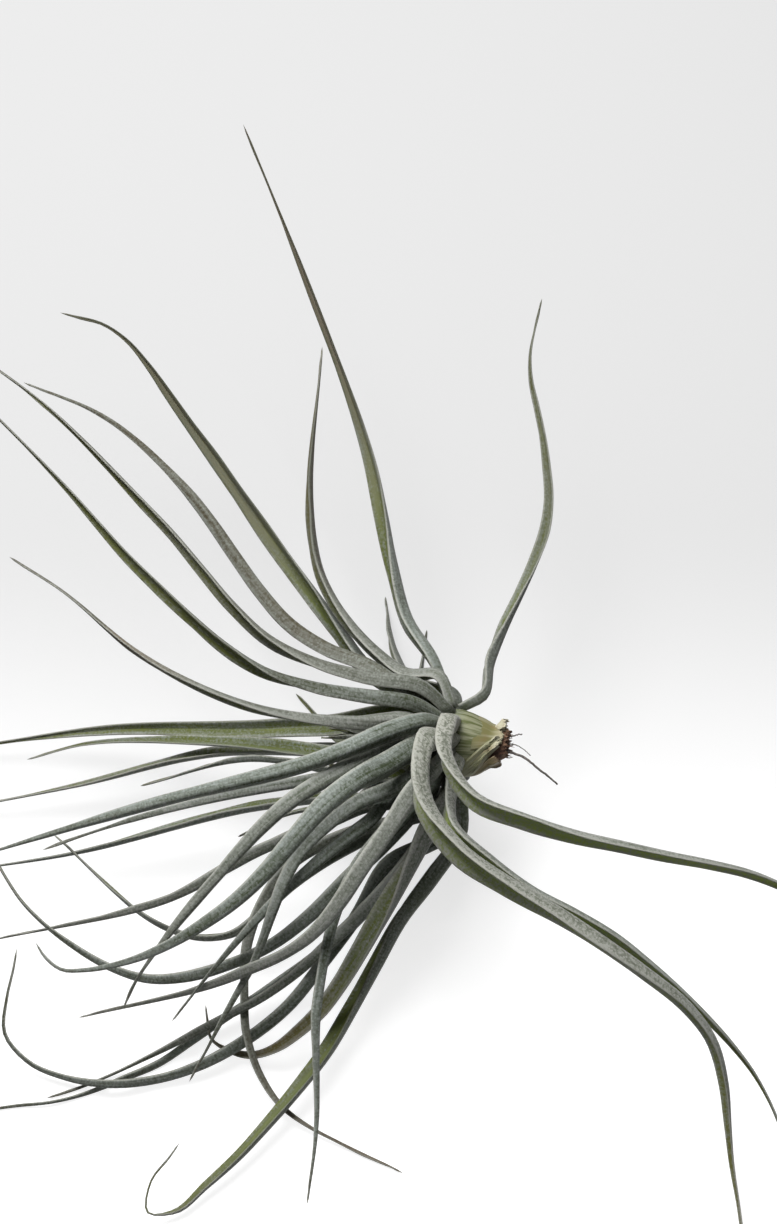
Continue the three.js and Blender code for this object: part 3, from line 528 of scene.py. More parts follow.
class Nodes:
    """The nodes of a material or of the world."""

    def __init__(self, tree):
        self.tree = tree

    def put(self, socket, value):
        if isinstance(value, bpy.types.NodeSocket):
            self.tree.links.new(value, socket)
        else:
            socket.default_value = value

    def add(self, kind, settings=None, **inputs):
        node = self.tree.nodes.new(kind)
        for key, value in (settings or {}).items():
            setattr(node, key, value)
        for key, value in inputs.items():
            self.put(node.inputs[key.replace("_", " ")], value)
        return node

    def marks(self, name):
        mark = self.add("ShaderNodeAttribute", {"attribute_name": name})
        return self.parts(mark.outputs["Vector"])

    def parts(self, vector):
        return self.add("ShaderNodeSeparateXYZ", Vector=vector).outputs

    def vector(self, x, y, z):
        return self.add("ShaderNodeCombineXYZ", X=x, Y=y, Z=z).outputs[0]

    def math(self, operation, a, b=0.0, clamp=False):
        node = self.add("ShaderNodeMath", {"operation": operation, "use_clamp": clamp})
        self.put(node.inputs[0], a)
        self.put(node.inputs[1], b)
        return node.outputs[0]

    def times(self, a, b, clamp=False):
        return self.math("MULTIPLY", a, b, clamp)

    def spread(self, value, low, high, to_low=0.0, to_high=1.0, kind="SMOOTHSTEP"):
        """A value between two ends, read as one between two others."""
        node = self.add("ShaderNodeMapRange", {"interpolation_type": kind})
        for socket, given in zip(node.inputs, (value, low, high, to_low, to_high)):
            self.put(socket, given)
        return node.outputs[0]

    def mix(self, share, a, b):
        node = self.add("ShaderNodeMix", {"data_type": "RGBA"})
        self.put(node.inputs[0], share)
        for key, value in ((6, a), (7, b)):
            if not isinstance(value, bpy.types.NodeSocket):
                value = (*value[:3], 1.0)
            self.put(node.inputs[key], value)
        return node.outputs[2]

    def tint(self, colour, other, mark, strength):
        """A colour with so much of another where a mark is one."""
        return self.mix(self.times(mark, strength, True), colour, other)

    def noise(self, vector, scale, detail, roughness):
        node = self.add("ShaderNodeTexNoise", Scale=scale, Detail=detail, Roughness=roughness)
        self.put(node.inputs["Vector"], vector)
        return node.outputs["Fac"]


class Surface(Nodes):
    """A material whose colour, bump and roughness come from nodes."""

    def __init__(self, name):
        self.material = bpy.data.materials.new(name)
        self.material.use_nodes = True
        super().__init__(self.material.node_tree)
        self.tree.nodes.clear()
        self.shader = self.add("ShaderNodeBsdfPrincipled")
        self.add("ShaderNodeOutputMaterial", Surface=self.shader.outputs[0])

    def bump(self, height, distance, strength):
        """Relief from a height, so many millimetres deep."""
        node = self.add("ShaderNodeBump", Height=height, Distance=distance * MM, Strength=strength)
        self.put(self.shader.inputs["Normal"], node.outputs[0])

    def surface(self, colour, roughness, specular=0.5):
        """The colour and the shine, each a value or what nodes give."""
        self.put(self.shader.inputs["Base Color"], colour)
        self.put(self.shader.inputs["Roughness"], roughness)
        self.put(self.shader.inputs["Specular IOR Level"], specular)


def leaf_material(name, colours, bareness=0.0):
    """Leaf tissue under fine silvery scales: barer and greener in the channel, silvery along the edges. The
    tone paints shade at the feet and on the far leaves, and light in the channels of the loops.
    """
    n = Surface(name)
    across, along, face = n.marks("blade")
    edge, share, own = n.marks("spot")
    dark, brown, bare = n.marks("tone")
    # Each leaf and each face reads another stretch of the patterns
    aside = n.math("ADD", n.times(own, 3.1), n.times(face, 0.7))
    aside = n.math("ADD", across, aside)
    flat = n.vector(aside, along, 0.0)
    streaked = n.vector(aside, n.times(along, LEAF_STRETCH), 0.0)
    cells = n.add("ShaderNodeTexVoronoi", {"voronoi_dimensions": "2D"}, Scale=LEAF_SCALES, Randomness=1.0)
    n.put(cells.inputs["Vector"], n.vector(aside, n.times(along, SCALE_STRETCH), 0.0))
    chance = n.parts(cells.outputs["Color"])[0]
    veins = n.noise(streaked, *LEAF_VEINS)
    lines = n.noise(streaked, *LEAF_LINES)
    patterns = (chance, n.noise(flat, *LEAF_GRAIN), n.noise(flat, *LEAF_PATCHES), veins, lines)
    # The scales cover much of the tissue on the outer face and along the edges, and little in the channel
    cover = n.spread(face, 0.0, 1.0, *(cover - bareness for cover in FACE_COVER))
    cover = n.math("ADD", cover, n.spread(own, 0.0, 1.0, *OWN_COVER))
    # Painted light: where the dark tone is under zero, on the loops 32 to 34, the channel is lit by paint
    painted_light_mask = n.times(n.spread(dark, 0.0, -1.0), face)
    loss = n.math("ADD", n.times(bare, BARE_COVER), n.times(painted_light_mask, PAINTED_LIGHT_COVER))
    cover = n.math("SUBTRACT", cover, loss)
    for pattern, strength in zip(patterns, PATTERN_COVER):
        cover = n.math("ADD", cover, n.times(n.math("SUBTRACT", pattern, 0.5), strength))
    cover = n.math("ADD", cover, n.spread(edge, *EDGE_COVER))
    cover = n.times(cover, n.spread(cells.outputs["Distance"], *SCALE_RIM), True)
    tissue = n.mix(face, colours.outer_tissue, colours.channel_tissue)
    tissue = n.mix(n.spread(veins, *VEIN_SHADE), tissue, colours.streak_and_shade_green)
    tissue = n.mix(n.spread(share, *FOOT_GREEN), tissue, colours.foot_tissue)
    # Darker, weathered tissue where the tone is dark: dried at the tips, and painted shade at the feet and on
    # the far leaves
    tissue = n.mix(n.times(dark, n.spread(face, *DARK_FACE)), tissue, colours.weathered_and_shade_tissue)
    # Painted light: a brighter green in the shaded channels of the loops
    tissue = n.mix(painted_light_mask, tissue, colours.painted_lit_green)
    tissue = n.tint(tissue, colours.brown_tissue, brown, 0.7)
    scale = n.mix(n.spread(own, 0.0, 1.0, 0.0, 0.5), colours.scales, colours.warm_scales)
    # A bare under zero gives a denser, paler frost: on leaf 1 it is its own frost, on the loops 32 to 34 it
    # is partly painted light
    frost_and_painted_light = n.spread(bare, *FROST_DENSITY)
    scale = n.mix(frost_and_painted_light, scale, colours.margin)
    scale = n.mix(n.times(frost_and_painted_light, n.spread(chance, *FROST_SPECKS)), scale, colours.outer_tissue)
    scale = n.tint(scale, colours.brown_scales, brown, 0.45)
    # Fewer scales where the tone is dark, which at the feet and on the far leaves is painted shade
    scale = n.mix(n.times(dark, 0.45), scale, colours.outer_tissue)
    margin = n.times(n.spread(edge, *PALE_MARGIN), n.spread(dark, *DARK_MARGIN))
    scale = n.mix(margin, scale, colours.margin)
    n.surface(n.mix(cover, tissue, scale), n.spread(cover, *LEAF_ROUGHNESS), 0.3)
    n.shader.inputs["Sheen Weight"].default_value = 0.15
    n.shader.inputs["Sheen Roughness"].default_value = 0.45
    n.bump(n.math("ADD", n.times(cover, 0.5), veins), 0.15, 0.6)
    return n.material


def sheath_material(colours):
    """Dry, papery sheath with fine ribs, paler or browner towards its torn edge."""
    n = Surface("dry_sheath")
    across, along, _ = n.marks("blade")
    _, share, own = n.marks("spot")
    green, tan, pale = n.marks("tone")
    ribs = n.noise(n.vector(across, n.times(along, SHEATH_STRETCH), own), *SHEATH_RIBS)
    blotch = n.noise(n.vector(across, along, own), *SHEATH_BLOTCHES)
    colour = n.tint(colours.sheath, colours.sheath_green, green, 0.85)
    colour = n.tint(colour, colours.sheath_tan, tan, 0.8)
    colour = n.mix(n.spread(ribs, *RIB_ON_SHEATH), colour, colours.sheath_rib)
    colour = n.tint(colour, colours.sheath_edge, pale, 0.55)
    colour = n.mix(n.spread(blotch, *STAIN_ON_SHEATH), colour, colours.sheath_stain)
    torn = n.tint(colours.sheath_edge, colours.stub, tan, 1.0)
    n.surface(n.mix(n.spread(share, *TORN_END), colour, torn), 0.55, 0.35)
    n.bump(ribs, 0.2, 0.7)
    return n.material


def base_material(colours):
    """Clasped leaf bases: green at the back, with pale ribs along the shoot, and silvery ahead. Painted shade
    darkens them ahead, among the leaves, and in the hollows between the rims.
    """
    n = Surface("leaf_base")
    across, along, raised = n.marks("blade")
    _, share, own = n.marks("spot")
    ribs = n.noise(n.vector(across, n.times(along, BASE_STRETCH), own), *BASE_RIBS)
    grain = n.noise(n.vector(across, along, own), *BASE_GRAIN)
    colour = n.mix(n.spread(ribs, *RIB_ON_BASE), colours.base_green, colours.base_rib)
    frost = n.math("ADD", ribs, n.times(n.math("SUBTRACT", grain, 0.5), 0.5))
    silver = n.mix(n.spread(frost, *SILVER_GRAIN), colours.base_green, colours.scales)
    colour = n.mix(n.spread(share, *SILVER_AHEAD), colour, silver)
    # Painted shade in the hollows between the rims
    colour = n.mix(n.spread(raised, *BASE_CREVICE_SHADE), colour, colours.streak_and_shade_green)
    # Painted shade ahead, where the knot lies deep among the leaves
    n.surface(n.mix(n.spread(share, *SHADE_AHEAD), colour, colours.streak_and_shade_green), 0.6, 0.3)
    n.bump(ribs, 0.4, 0.8)
    return n.material


def stub_material(colours):
    """Broken fibrous stem: reddish brown with tan patches, greener where it meets the bases."""
    n = Surface("dry_stem")
    share = n.marks("spot")[1]
    coordinates = n.add("ShaderNodeTexCoord").outputs["Object"]
    grain = n.noise(coordinates, *STUB_GRAIN)
    colour = n.mix(n.spread(grain, *DARK_FIBRES), colours.stub_dark, colours.stub)
    colour = n.mix(n.spread(n.noise(coordinates, *STUB_PATCHES), *TAN_FIBRES), colour, colours.stub_tan)
    n.surface(n.mix(n.spread(share, *GREEN_STUB), colour, colours.stub_green), 0.85)
    n.bump(grain, 0.4, 0.9)
    return n.material


def rootlet_material(colours):
    """Wiry dry rootlet."""
    n = Surface("rootlet")
    grain = n.noise(n.add("ShaderNodeTexCoord").outputs["Object"], *ROOTLET_GRAIN)
    n.surface(n.mix(n.spread(grain, *PALE_ROOTLET), colours.rootlet, colours.rootlet_pale), 0.8)
    n.bump(grain, 0.1, 0.6)
    return n.material


def floor_material(stage):
    """Pale seamless floor, a little greyer far from the viewer, which is painted shade."""
    n = Surface("floor")
    depth = n.parts(n.add("ShaderNodeTexCoord").outputs["Object"])[1]
    # Painted shade: the floor greys away from the viewer
    colour = n.mix(n.spread(depth, stage.fade_from, stage.fade_to), stage.near_floor, stage.far_floor)
    n.surface(colour, 1.0, 0.0)
    n.put(n.shader.inputs["Emission Color"], colour)
    n.shader.inputs["Emission Strength"].default_value = stage.floor_glow
    return n.material


# Pieces


def piece(name, vertices, faces, material, nodes, marks):
    """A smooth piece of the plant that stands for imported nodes."""
    mesh = bpy.data.meshes.new(name)
    mesh.from_pydata([tuple(v) for v in vertices], [], faces)
    mesh.shade_smooth()
    for label, values in zip(("blade", "spot", "tone"), marks):
        layer = mesh.attributes.new(label, "FLOAT_VECTOR", "POINT")
        layer.data.foreach_set("vector", np.asarray(values, np.float32).ravel())
    mesh.materials.append(material)
    mesh.validate()
    mesh.update()
    made = bpy.data.objects.new(name, mesh)
    bpy.context.scene.collection.objects.link(made)
    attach(made, "root")
    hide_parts(*nodes)


def joined(parts):
    """Several lots of vertices, faces and marks as one."""
    vertices, faces, marks = [], [], []
    count = 0
    for part, its_faces, *its_marks in parts:
        vertices.append(part)
        faces.extend(tuple(i + count for i in face) for face in its_faces)
        marks.append(its_marks)
        count += len(part)
    return np.concatenate(vertices), faces, [np.concatenate(lot) for lot in zip(*marks)]


def tube(points, radii, sides, wobble=0.0, seed=1):
    """A closed round tube through points, as vertices, faces and marks."""
    rng = np.random.default_rng(seed)
    points = np.asarray(points)
    tangents = unit(np.gradient(points, axis=0))
    side = np.cross(tangents[0], NO_TUBE)
    rows = []
    for p, t, r in zip(points, tangents, radii):
        side = side - side.dot(t) * t
        side /= np.linalg.norm(side)
        other = np.cross(t, side)
        angles = np.arange(sides) * 2 * math.pi / sides
        r = r * (1 + wobble * rng.uniform(-1, 1, sides))
        rows.append(p + (r * np.cos(angles))[:, None] * side + (r * np.sin(angles))[:, None] * other)
    count = len(points)
    faces = ring_faces(count, sides, (0, 1, 2, 3))
    faces.append(tuple(range(sides))[::-1])
    faces.append(tuple(range((count - 1) * sides, count * sides)))
    share = np.repeat(np.linspace(0, 1, count), sides)
    first = np.zeros((count * sides, 3))
    return np.concatenate(rows), faces, first, spots(share, TUBE_PATTERN), np.zeros_like(first)


def curve_through(points, count):
    """Points along a smooth curve through a few places."""
    points = np.asarray(points, float)
    times = lengths(points)
    return smooth_rows(points, times, np.linspace(0, times[-1], count))


def sheath_shell(turn, span, ahead, lift, tone, settings, seed):
    """A thin curved shell with a wavy body and a torn edge, as vertices, faces and marks."""
    rng = np.random.default_rng(seed)
    rows, columns = settings.sheath_rows, settings.sheath_columns
    wide = columns + 1
    knots = np.linspace(0, 1, TEAR_KNOTS)
    tear = np.interp(np.linspace(0, 1, wide), knots, rng.uniform(0, 1, TEAR_KNOTS))
    tear = tear + TEAR_JITTER * rng.uniform(-1, 1, wide)
    phase = rng.uniform(0, 6)
    vertices = []
    for face in (0, 1):
        for i in range(rows + 1):
            r = i / rows
            for j in range(wide):
                c = j / columns
                across = 2 * c - 1
                end = ahead[1] + settings.tear_depth / MM * float(np.clip(tear[j], 0, DEEPEST_TEAR))
                here = between((ahead[0], end), r) - FRONT_CURVE * across * across * (1 - r)
                on_stub = between(STUB_RADIUS, float(np.clip(-here / (STUB_REACH / MM), 0, 1)))
                on_knot = knot_radius((here * MM - KNOT_AHEAD) / KNOT_LENGTH)
                wave = math.sin(phase + SHEATH_RIPPLES[0] * c + SHEATH_RIPPLES[1] * r)
                radius = max(on_stub, on_knot) + between(lift, r) * MM + settings.sheath_wave * r * wave
                radius += settings.sheath_thickness * face
                vertices.append(around(here * MM, radius, between(turn, r) + between(span, r) * across / 2))
    far = wide * (rows + 1)
    grid = np.arange(far).reshape(rows + 1, wide).tolist()
    faces = []
    for row, beyond in zip(grid, grid[1:]):
        for a, b, c, d in zip(row, beyond, beyond[1:], row[1:]):
            faces.append((a, b, c, d))
            faces.append((far + d, far + c, far + b, far + a))
    sides = [row[-1] for row in grid[1:]], [row[0] for row in grid[-2:0:-1]]
    rim = grid[0] + sides[0] + grid[-1][-2::-1] + sides[1]
    for p, q in zip(rim, rim[1:] + rim[:1]):
        faces.append((p, q, far + q, far + p))
    c = np.tile(np.linspace(-1, 1, wide), 2 * rows + 2)
    r = np.tile(np.repeat(np.linspace(0, 1, rows + 1), wide), 2)
    outside = np.repeat([1.0, 0.0], far)
    first = np.stack([c * SHEATH_PATTERN[0] * MM, r * SHEATH_PATTERN[1] * MM, outside], -1)
    second = np.stack([np.abs(c), r, np.full(2 * far, (seed * SHEATH_STEP) % 1)], -1)
    return vertices, faces, first, second, np.tile(tone, (2 * far, 1))


# Settings


def colour(label, text, value):
    kind = {"subtype": "COLOR", "size": 3, "min": 0, "max": 1}
    return FloatVectorProperty(name=label, description=text, default=value, **kind)


def number(label, text, value, unit="LENGTH"):
    return FloatProperty(name=label, description=text, default=value, unit=unit)


class PlantSizes(PropertyGroup):
    along: IntProperty(name="Rings", description="Sections along a leaf", default=76, min=20)
    across: IntProperty(name="Columns", description="Faces across a leaf", default=10, min=4)
    roundness: FloatProperty(name="Roundness", description="1 for V channels, 2 for U", default=1.5, min=1)
    deepening: FloatProperty(name="Deepening", description="Depth over packed depth", default=1.15, min=1)
    thickness: number("Thickness", "Of a leaf along its midrib", 1.1 * MM)
    edge_thickness: number("Edge", "Thickness of a leaf's edge", 0.4 * MM)
    edge_wave: number("Edge wave", "How far an edge wanders", 0.35 * MM)
    foot_width: number("Foot", "Width of a leaf's clasping foot", 5.6 * MM)
    sheath_rows: IntProperty(name="Sheath rows", description="Faces along a sheath", default=14, min=4)
    sheath_columns: IntProperty(name="Sheath columns", description="Faces across a sheath", default=44, min=8)
    sheath_thickness: number("Sheath", "Thickness of a dry sheath", 0.3 * MM)
    sheath_wave: number("Sheath wave", "Ripple of a dry sheath", 0.35 * MM)
    tear_depth: number("Tear", "Depth of a sheath's torn edge", 1.6 * MM)


class PlantColours(PropertyGroup):
    outer_tissue: colour("Outer face", "Green of the outer face", (0.048, 0.064, 0.03))
    channel_tissue: colour("Channel", "Green of the channel", (0.115, 0.14, 0.026))
    # Darker streaks of green on the leaves; on the leaf bases the same green is painted shade
    streak_and_shade_green: colour("Dark green", "Darker streaks of green", (0.035, 0.048, 0.018))
    foot_tissue: colour("Foot", "Paler green near the foot", (0.13, 0.16, 0.07))
    # Painted light: a brighter green that stands in for light in the shaded channels of the loops
    painted_lit_green: colour("Bright green", "Fresh green in full light", (0.34, 0.43, 0.10))
    scales: colour("Scales", "Silvery scales", (0.29, 0.32, 0.297))
    warm_scales: colour("Warm scales", "Scales on older leaves", (0.295, 0.285, 0.255))
    margin: colour("Margin", "Scales along a leaf's edges", (0.42, 0.42, 0.37))
    # Weathered tissue of dried tips, also painted shade at the leaf feet and on the far leaves
    weathered_and_shade_tissue: colour("Darkest green", "Old, weathered tissue", (0.028, 0.028, 0.024))
    brown_tissue: colour("Brown tissue", "Dried tissue", (0.13, 0.085, 0.045))
    brown_scales: colour("Brown scales", "Scales on dried tissue", (0.30, 0.24, 0.18))
    base_green: colour("Base green", "Green of the leaf bases", (0.10, 0.115, 0.04))
    base_rib: colour("Base rib", "Pale ribs of the leaf bases", (0.26, 0.265, 0.16))
    sheath: colour("Sheath", "Dry sheath", (0.34, 0.33, 0.21))
    sheath_rib: colour("Sheath rib", "Ribs of a dry sheath", (0.46, 0.45, 0.34))
    sheath_green: colour("Green sheath", "Sheath that is still green", (0.14, 0.15, 0.045))
    sheath_tan: colour("Tan sheath", "Tan, weathered sheath", (0.23, 0.165, 0.07))
    sheath_stain: colour("Sheath stain", "Brown stain on a dry sheath", (0.25, 0.17, 0.08))
    sheath_edge: colour("Sheath edge", "Torn edge of a dry sheath", (0.66, 0.63, 0.48))
    stub: colour("Stub", "Broken stem", (0.19, 0.095, 0.06))
    stub_dark: colour("Dark stub", "Shaded fibres of the stem", (0.055, 0.028, 0.02))
    stub_tan: colour("Tan stub", "Pale fibres of the stem", (0.35, 0.22, 0.12))
    stub_green: colour("Green stub", "Living side of the stub", (0.30, 0.33, 0.15))
    rootlet: colour("Rootlet", "Wiry rootlet", (0.07, 0.06, 0.055))
    rootlet_pale: colour("Pale rootlet", "Paler stretches of a rootlet", (0.17, 0.15, 0.13))


class PlantStage(PropertyGroup):
    # The greyer far floor is painted shade
    near_floor: colour("Near floor", "Floor close to the viewer", (0.40, 0.40, 0.40))
    far_floor: colour("Far floor", "Floor far from the viewer", (0.235, 0.235, 0.235))
    fade_from: number("Fade from", "Where the floor starts to grey", -0.142)
    fade_to: number("Fade to", "Where the floor is greyest", 0.085)
    floor_glow: number("Floor glow", "Light that keeps the shadows soft", 2.1, "NONE")
    key_power: number("Key light", "Light of the window above", 16.0, "POWER")
    fill_power: number("Fill light", "Soft light from the viewer's side", 0.7, "POWER")
    world_light: number("Room light", "Soft light from above", 0.17, "NONE")
    light_below: number("Light below", "Light from the floor, as a share of the room light", 2.4, "NONE")


# Operators


class PLANT_OT_leaves(Operator):
    """Builds every leaf as a smooth frosted blade through its packed sections"""

    bl_idname = "plant.leaves"
    bl_label = "Leaves"

    def execute(self, context):
        sizes = context.scene.plant_sizes
        material = leaf_material("leaf", context.scene.plant_colours)
        leaves = sorted(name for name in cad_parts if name.startswith("leaf_"))
        for i, node in enumerate(leaves):
            leaf = int(node[-2:])
            rows = leaf_rows(node, WIDENING.get(leaf, AS_PACKED), sizes)
            if leaf in ROLLS:
                rows = rolled(rows, ROLLS[leaf])
            tone = TONES.get(leaf, DEEP if leaf > SEEN_LEAVES else PLAIN)
            vertices, faces, *marks = fine_blade(*rows.transpose(1, 0, 2), sizes, i + 1, tone)
            vertices[:, 2] = np.maximum(vertices[:, 2], 0.0)
            piece(node.replace("leaf", "blade"), vertices, faces, material, [node], marks)
        return {"FINISHED"}


class PLANT_OT_bud(Operator):
    """Builds the youngest leaves, in the middle of the plant"""

    bl_idname = "plant.bud"
    bl_label = "Bud"

    def execute(self, context):
        sizes = context.scene.plant_sizes
        material = leaf_material("young_leaf", context.scene.plant_colours, YOUNG_BARENESS)
        rng = random.Random(11)
        middle = KNOT_AHEAD + KNOT_LENGTH + BUD_LENGTH / 2
        s = np.linspace(0, 1, YOUNG_RINGS)[:, None]
        taper = np.maximum(1 - s, BLUNT) ** YOUNG_TAPER
        parts = []
        for i in range(YOUNG_LEAVES):
            turn = i * GOLDEN_TURN
            out = math.cos(turn) * SHOOT_UP + math.sin(turn) * SHOOT_NEAR
            lean = math.radians(between(YOUNG_LEAN, rng.random()))
            length = between(YOUNG_LENGTH, rng.random())
            tangent = math.cos(lean) * SHOOT + math.sin(lean) * out
            foot = HEART + (middle - BUD_LENGTH / 4) * SHOOT + BUD_RADIUS / 3 * out
            across = np.cross(SHOOT, out)
            inside = np.cross(tangent, across)
            centre = foot + tangent * length * s
            half = across * YOUNG_WIDTH / 2 * taper
            lift = inside * YOUNG_WIDTH * YOUNG_FOLD * taper
            skin = inside * YOUNG_SKIN * MM
            rows = (centre - half + lift, centre + half + lift, centre + skin, centre - skin)
            parts.append(fine_blade(*rows, sizes, 60 + i, PLAIN))
        core = curve_through([HEART + (middle + end * BUD_LENGTH / 2) * SHOOT for end in (-1, 1)], BUD_RINGS)
        swell = np.sqrt(np.clip(1 - np.linspace(-1, BUD_TIP, BUD_RINGS) ** 2, BLUNT, 1))
        parts.append(tube(core, BUD_RADIUS * swell, sides=20))
        vertices, faces, marks = joined(parts)
        piece("young_leaves", vertices, faces, material, ["bud"], marks)
        return {"FINISHED"}


class PLANT_OT_stem(Operator):
    """Builds the knot of clasped leaf bases, the stub with its torn end and the rootlets"""

    bl_idname = "plant.stem"
    bl_label = "Stem"

    def execute(self, context):
        colours = context.scene.plant_colours
        self.knot(colours)
        self.stub(colours)
        self.rootlets(colours)
        return {"FINISHED"}

    def knot(self, colours):
        """The knot, with the rims of the clasping bases running round it."""
        rows, columns = KNOT_GRID
        spread = 2 * BASE_SPREAD
        bases = [(i * GOLDEN_TURN, -BASE_SPREAD + spread * i / (BASES - 1)) for i in range(BASES)]
        grid = []
        marks = []
        for i in range(rows + 1):
            q = -1 + 2 * i / rows
            for j in range(columns):
                angle = 2 * math.pi * j / columns
                best = 0.0
                for k, (turn, place) in enumerate(bases):
                    around_it = math.atan2(math.sin(angle - turn), math.cos(angle - turn))
                    e = (around_it / BASE_SIZE[0]) ** 2 + ((q - place) / BASE_SIZE[1]) ** 2
                    if e < 1 and q > place - BASE_BACK:
                        height = 1 - RIM_VARIETY + RIM_VARIETY * math.sin(k)
                        best = max(best, (1 - e) ** RIM_POWER * height)
                swell = knot_radius(q) * (BETWEEN_BASES + RIM_HEIGHT * best)
                grid.append(around(KNOT_AHEAD + KNOT_LENGTH * q * KNOT_ENDS, swell, math.degrees(angle)))
                marks.append((angle * KNOT_RADIUS, KNOT_LENGTH * q, best, (q + 1) / 2))
        faces = ring_faces(rows + 1, columns, (0, 1, 2, 3))
        marks = np.array(marks)
        marks = (marks[:, :3], spots(marks[:, 3], KNOT_PATTERN))
        piece("knot", grid, faces, base_material(colours), ["stem"], marks)

    def stub(self, colours):
        """The stub, with fibres that stand out of the break."""
        rng = np.random.default_rng(21)
        rows, columns = STUB_GRID
        girth, lumpy, ribbed = STUB_SHAPE
        vertices, marks = [], []
        ragged = rng.uniform(0, 1, columns)
        for i in range(rows + 1):
            t = i / rows
            for j in range(columns):
                angle = 360 * j / columns
                lump = noise.noise(Vector((angle / STUB_LUMPS[0], t * STUB_LUMPS[1], 3)))
                radius = between(STUB_RADIUS, t) * (girth + lumpy * lump + ribbed * ((j % 3) - 1))
                missing = RAGGED_DEPTH[0] * ragged[j] + RAGGED_DEPTH[1]
                reach = STUB_REACH * t - missing * max(0.0, t - (1 - RAGGED_SHARE)) / RAGGED_SHARE
                vertices.append(around(-reach, radius, angle))
                marks.append(t)
        for i in range(1, BREAK_RINGS + 1):
            inward = 1 - i / BREAK_RINGS
            for j in range(columns):
                angle = 360 * j / columns
                turn = math.radians(angle)
                place = (BREAK_LUMPS * inward * math.cos(turn), BREAK_LUMPS * inward * math.sin(turn), i)
                rough = BREAK_ROUGH[0] * noise.noise(Vector(place)) + BREAK_ROUGH[1] * ragged[j] * inward
                dish = BREAK_DISH * (1 - inward) + rough * MM
                radius = BREAK_RADIUS * max(inward, BLUNT)
                vertices.append(around(-STUB_REACH + BREAK_DISH + dish, radius, angle))
                marks.append(1.0)
        rings = rows + BREAK_RINGS + 1
        faces = ring_faces(rings, columns, (1, 0, 3, 2))
        faces.append(tuple(range((rings - 1) * columns, rings * columns))[::-1])
        first = np.zeros((len(marks), 3))
        second = spots(np.array(marks), TUBE_PATTERN)
        parts = [(np.array(vertices), faces, first, second, np.zeros_like(first))]
        for k in range(FIBRES):
            turn = rng.uniform(0, 360)
            radius = STUB_RADIUS[1] * math.sqrt(rng.uniform(*FIBRE_SPREAD))
            start = around(-STUB_REACH + rng.uniform(*FIBRE_ROOT) * MM, radius, turn)
            reach = rng.uniform(*FIBRE_REACH) * MM
            end = start - SHOOT * reach + rng.normal(0, FIBRE_LEAN, 3) * reach
            bend = (start + end) / 2 + rng.normal(0, FIBRE_BEND, 3) * reach
            points = curve_through([start, bend, end], FIBRE_POINTS)
            radii = np.linspace(*FIBRE_RADII, FIBRE_POINTS) * MM
            parts.append(tube(points, radii, sides=5, wobble=0.2, seed=k))
        vertices, faces, marks = joined(parts)
        marks[1][len(second) :, 1] = 1.0
        piece("broken_stub", vertices, faces, stub_material(colours), ["stem"], marks)

    def rootlets(self, colours):
        """The rootlets, each a wiry thread."""
        rng = np.random.default_rng(5)
        parts = []
        for k, (points, thickness) in enumerate(ROOTLETS):
            path = curve_through([seen(p) for p in points], ROOTLET_POINTS)
            path = path + rng.normal(0, ROOTLET_SHAKE, path.shape)
            radii = np.linspace(thickness, ROOTLET_TIP * thickness, ROOTLET_POINTS) / 2 * MM
            parts.append(tube(path, radii, sides=7, wobble=0.12, seed=40 + k))
        vertices, faces, marks = joined(parts)
        piece("rootlets", vertices, faces, rootlet_material(colours), ["stem"], marks)


class PLANT_OT_sheaths(Operator):
    """Builds the dry, torn sheaths round the stub"""

    bl_idname = "plant.sheaths"
    bl_label = "Dry sheaths"

    def execute(self, context):
        sizes = context.scene.plant_sizes
        material = sheath_material(context.scene.plant_colours)
        for i, (node, *shape) in enumerate(SHEATHS):
            vertices, faces, *marks = sheath_shell(*shape, sizes, 3 + i)
            piece("dry_" + node, vertices, faces, material, [node], marks)
        return {"FINISHED"}


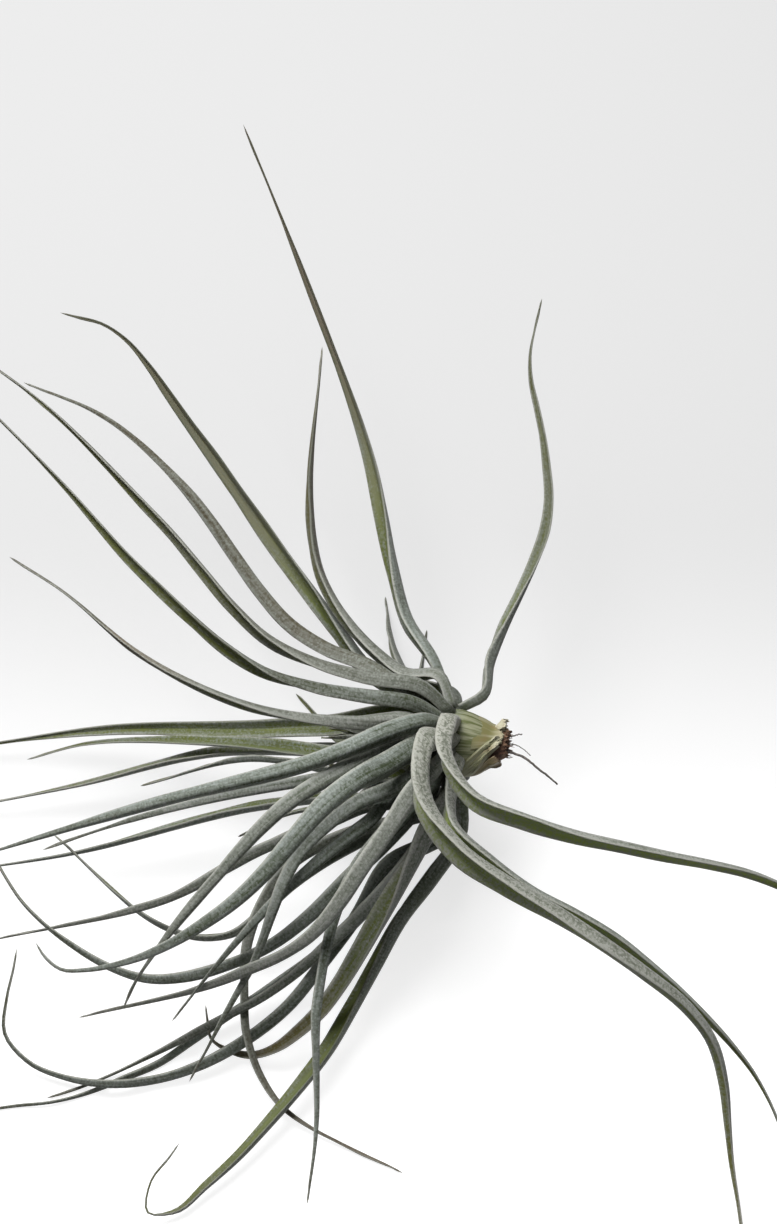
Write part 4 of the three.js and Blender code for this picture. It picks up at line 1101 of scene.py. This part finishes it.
class PLANT_OT_stage(Operator):
    """Sets up the pale floor, the soft lights and the camera that looks down on the plant"""

    bl_idname = "plant.stage"
    bl_label = "Stage"

    def execute(self, context):
        scene = context.scene
        stage = scene.plant_stage
        mesh = bpy.data.meshes.new("floor")
        corners = [(x * FLOOR_HALF, y * FLOOR_HALF, 0) for x, y in ((-1, -1), (1, -1), (1, 1), (-1, 1))]
        mesh.from_pydata(corners, [], [(0, 1, 2, 3)])
        mesh.materials.append(floor_material(stage))
        floor = bpy.data.objects.new("floor", mesh)
        floor.location.z = -FLOOR_DROP
        floor.visible_diffuse = False
        scene.collection.objects.link(floor)
        self.light("key_light", KEY_PLACE, KEY_SIZE, stage.key_power)
        self.light("fill_light", FILL_PLACE, FILL_SIZE, stage.fill_power)
        self.room(scene, stage)
        scene.view_settings.view_transform = "Standard"
        self.camera(scene)
        return {"FINISHED"}

    def room(self, scene, stage):
        """Light falls from above and comes back from the pale floor, and little comes from the sides."""
        world = bpy.data.worlds.new("soft_room")
        world.use_nodes = True
        n = Nodes(world.node_tree)
        height = n.parts(n.add("ShaderNodeTexCoord").outputs["Generated"])[2]
        above = n.spread(height, 0.0, STEEP, SIDE_LIGHT, 1.0, "LINEAR")
        below = n.spread(height, 0.0, -STEEP, 0.0, stage.light_below, "LINEAR")
        background = n.tree.nodes["Background"].inputs
        n.put(background["Color"], n.math("ADD", above, below))
        n.put(background["Strength"], stage.world_light)
        scene.world = world

    def light(self, name, place, size, power):
        lamp = bpy.data.lights.new(name, "AREA")
        lamp.shape = "SQUARE"
        lamp.size = size
        lamp.energy = power
        made = bpy.data.objects.new(name, lamp)
        made.location = Vector(place)
        made.rotation_euler = (Vector(HEART) - Vector(place)).to_track_quat("-Z", "Y").to_euler()
        bpy.context.scene.collection.objects.link(made)

    def camera(self, scene):
        """The view is 367.2 mm high where the heart is, from 900 mm away."""
        data = bpy.data.cameras.new("camera")
        data.lens = data.sensor_width * CAMERA_DISTANCE / (PICTURE_HEIGHT * PIXEL * MM)
        data.clip_start, data.clip_end = 0.01, 20
        camera = bpy.data.objects.new("camera", data)
        middle = HEART + PICTURE_MIDDLE[0] * RIGHT + PICTURE_MIDDLE[1] * UP
        camera.location = Vector(middle + CAMERA_DISTANCE * NEAR)
        camera.rotation_euler = (math.pi / 2 - LOOK_DOWN, 0, 0)
        scene.collection.objects.link(camera)
        scene.camera = camera


class PLANT_PT_panel(Panel):
    """Lists the steps that build the plant"""

    bl_idname = "PLANT_PT_panel"
    bl_label = "Air plant"
    bl_space_type = "VIEW_3D"
    bl_region_type = "UI"
    bl_category = "Air plant"

    def draw(self, context):
        for operator in OPERATORS:
            self.layout.operator(operator.bl_idname)


SETTINGS = {"plant_sizes": PlantSizes, "plant_colours": PlantColours, "plant_stage": PlantStage}
OPERATORS = (PLANT_OT_stage, PLANT_OT_leaves, PLANT_OT_bud, PLANT_OT_stem, PLANT_OT_sheaths)
KINDS = (*SETTINGS.values(), *OPERATORS, PLANT_PT_panel)


def register():
    for kind in KINDS:
        bpy.utils.register_class(kind)
    for name, kind in SETTINGS.items():
        setattr(bpy.types.Scene, name, PointerProperty(type=kind))


def unregister():
    for name in SETTINGS:
        delattr(bpy.types.Scene, name)
    for kind in reversed(KINDS):
        bpy.utils.unregister_class(kind)


def main():
    register()
    for operator in OPERATORS:
        group, name = operator.bl_idname.split(".")
        getattr(getattr(bpy.ops, group), name)()


if __name__ == "__main__":
    main()
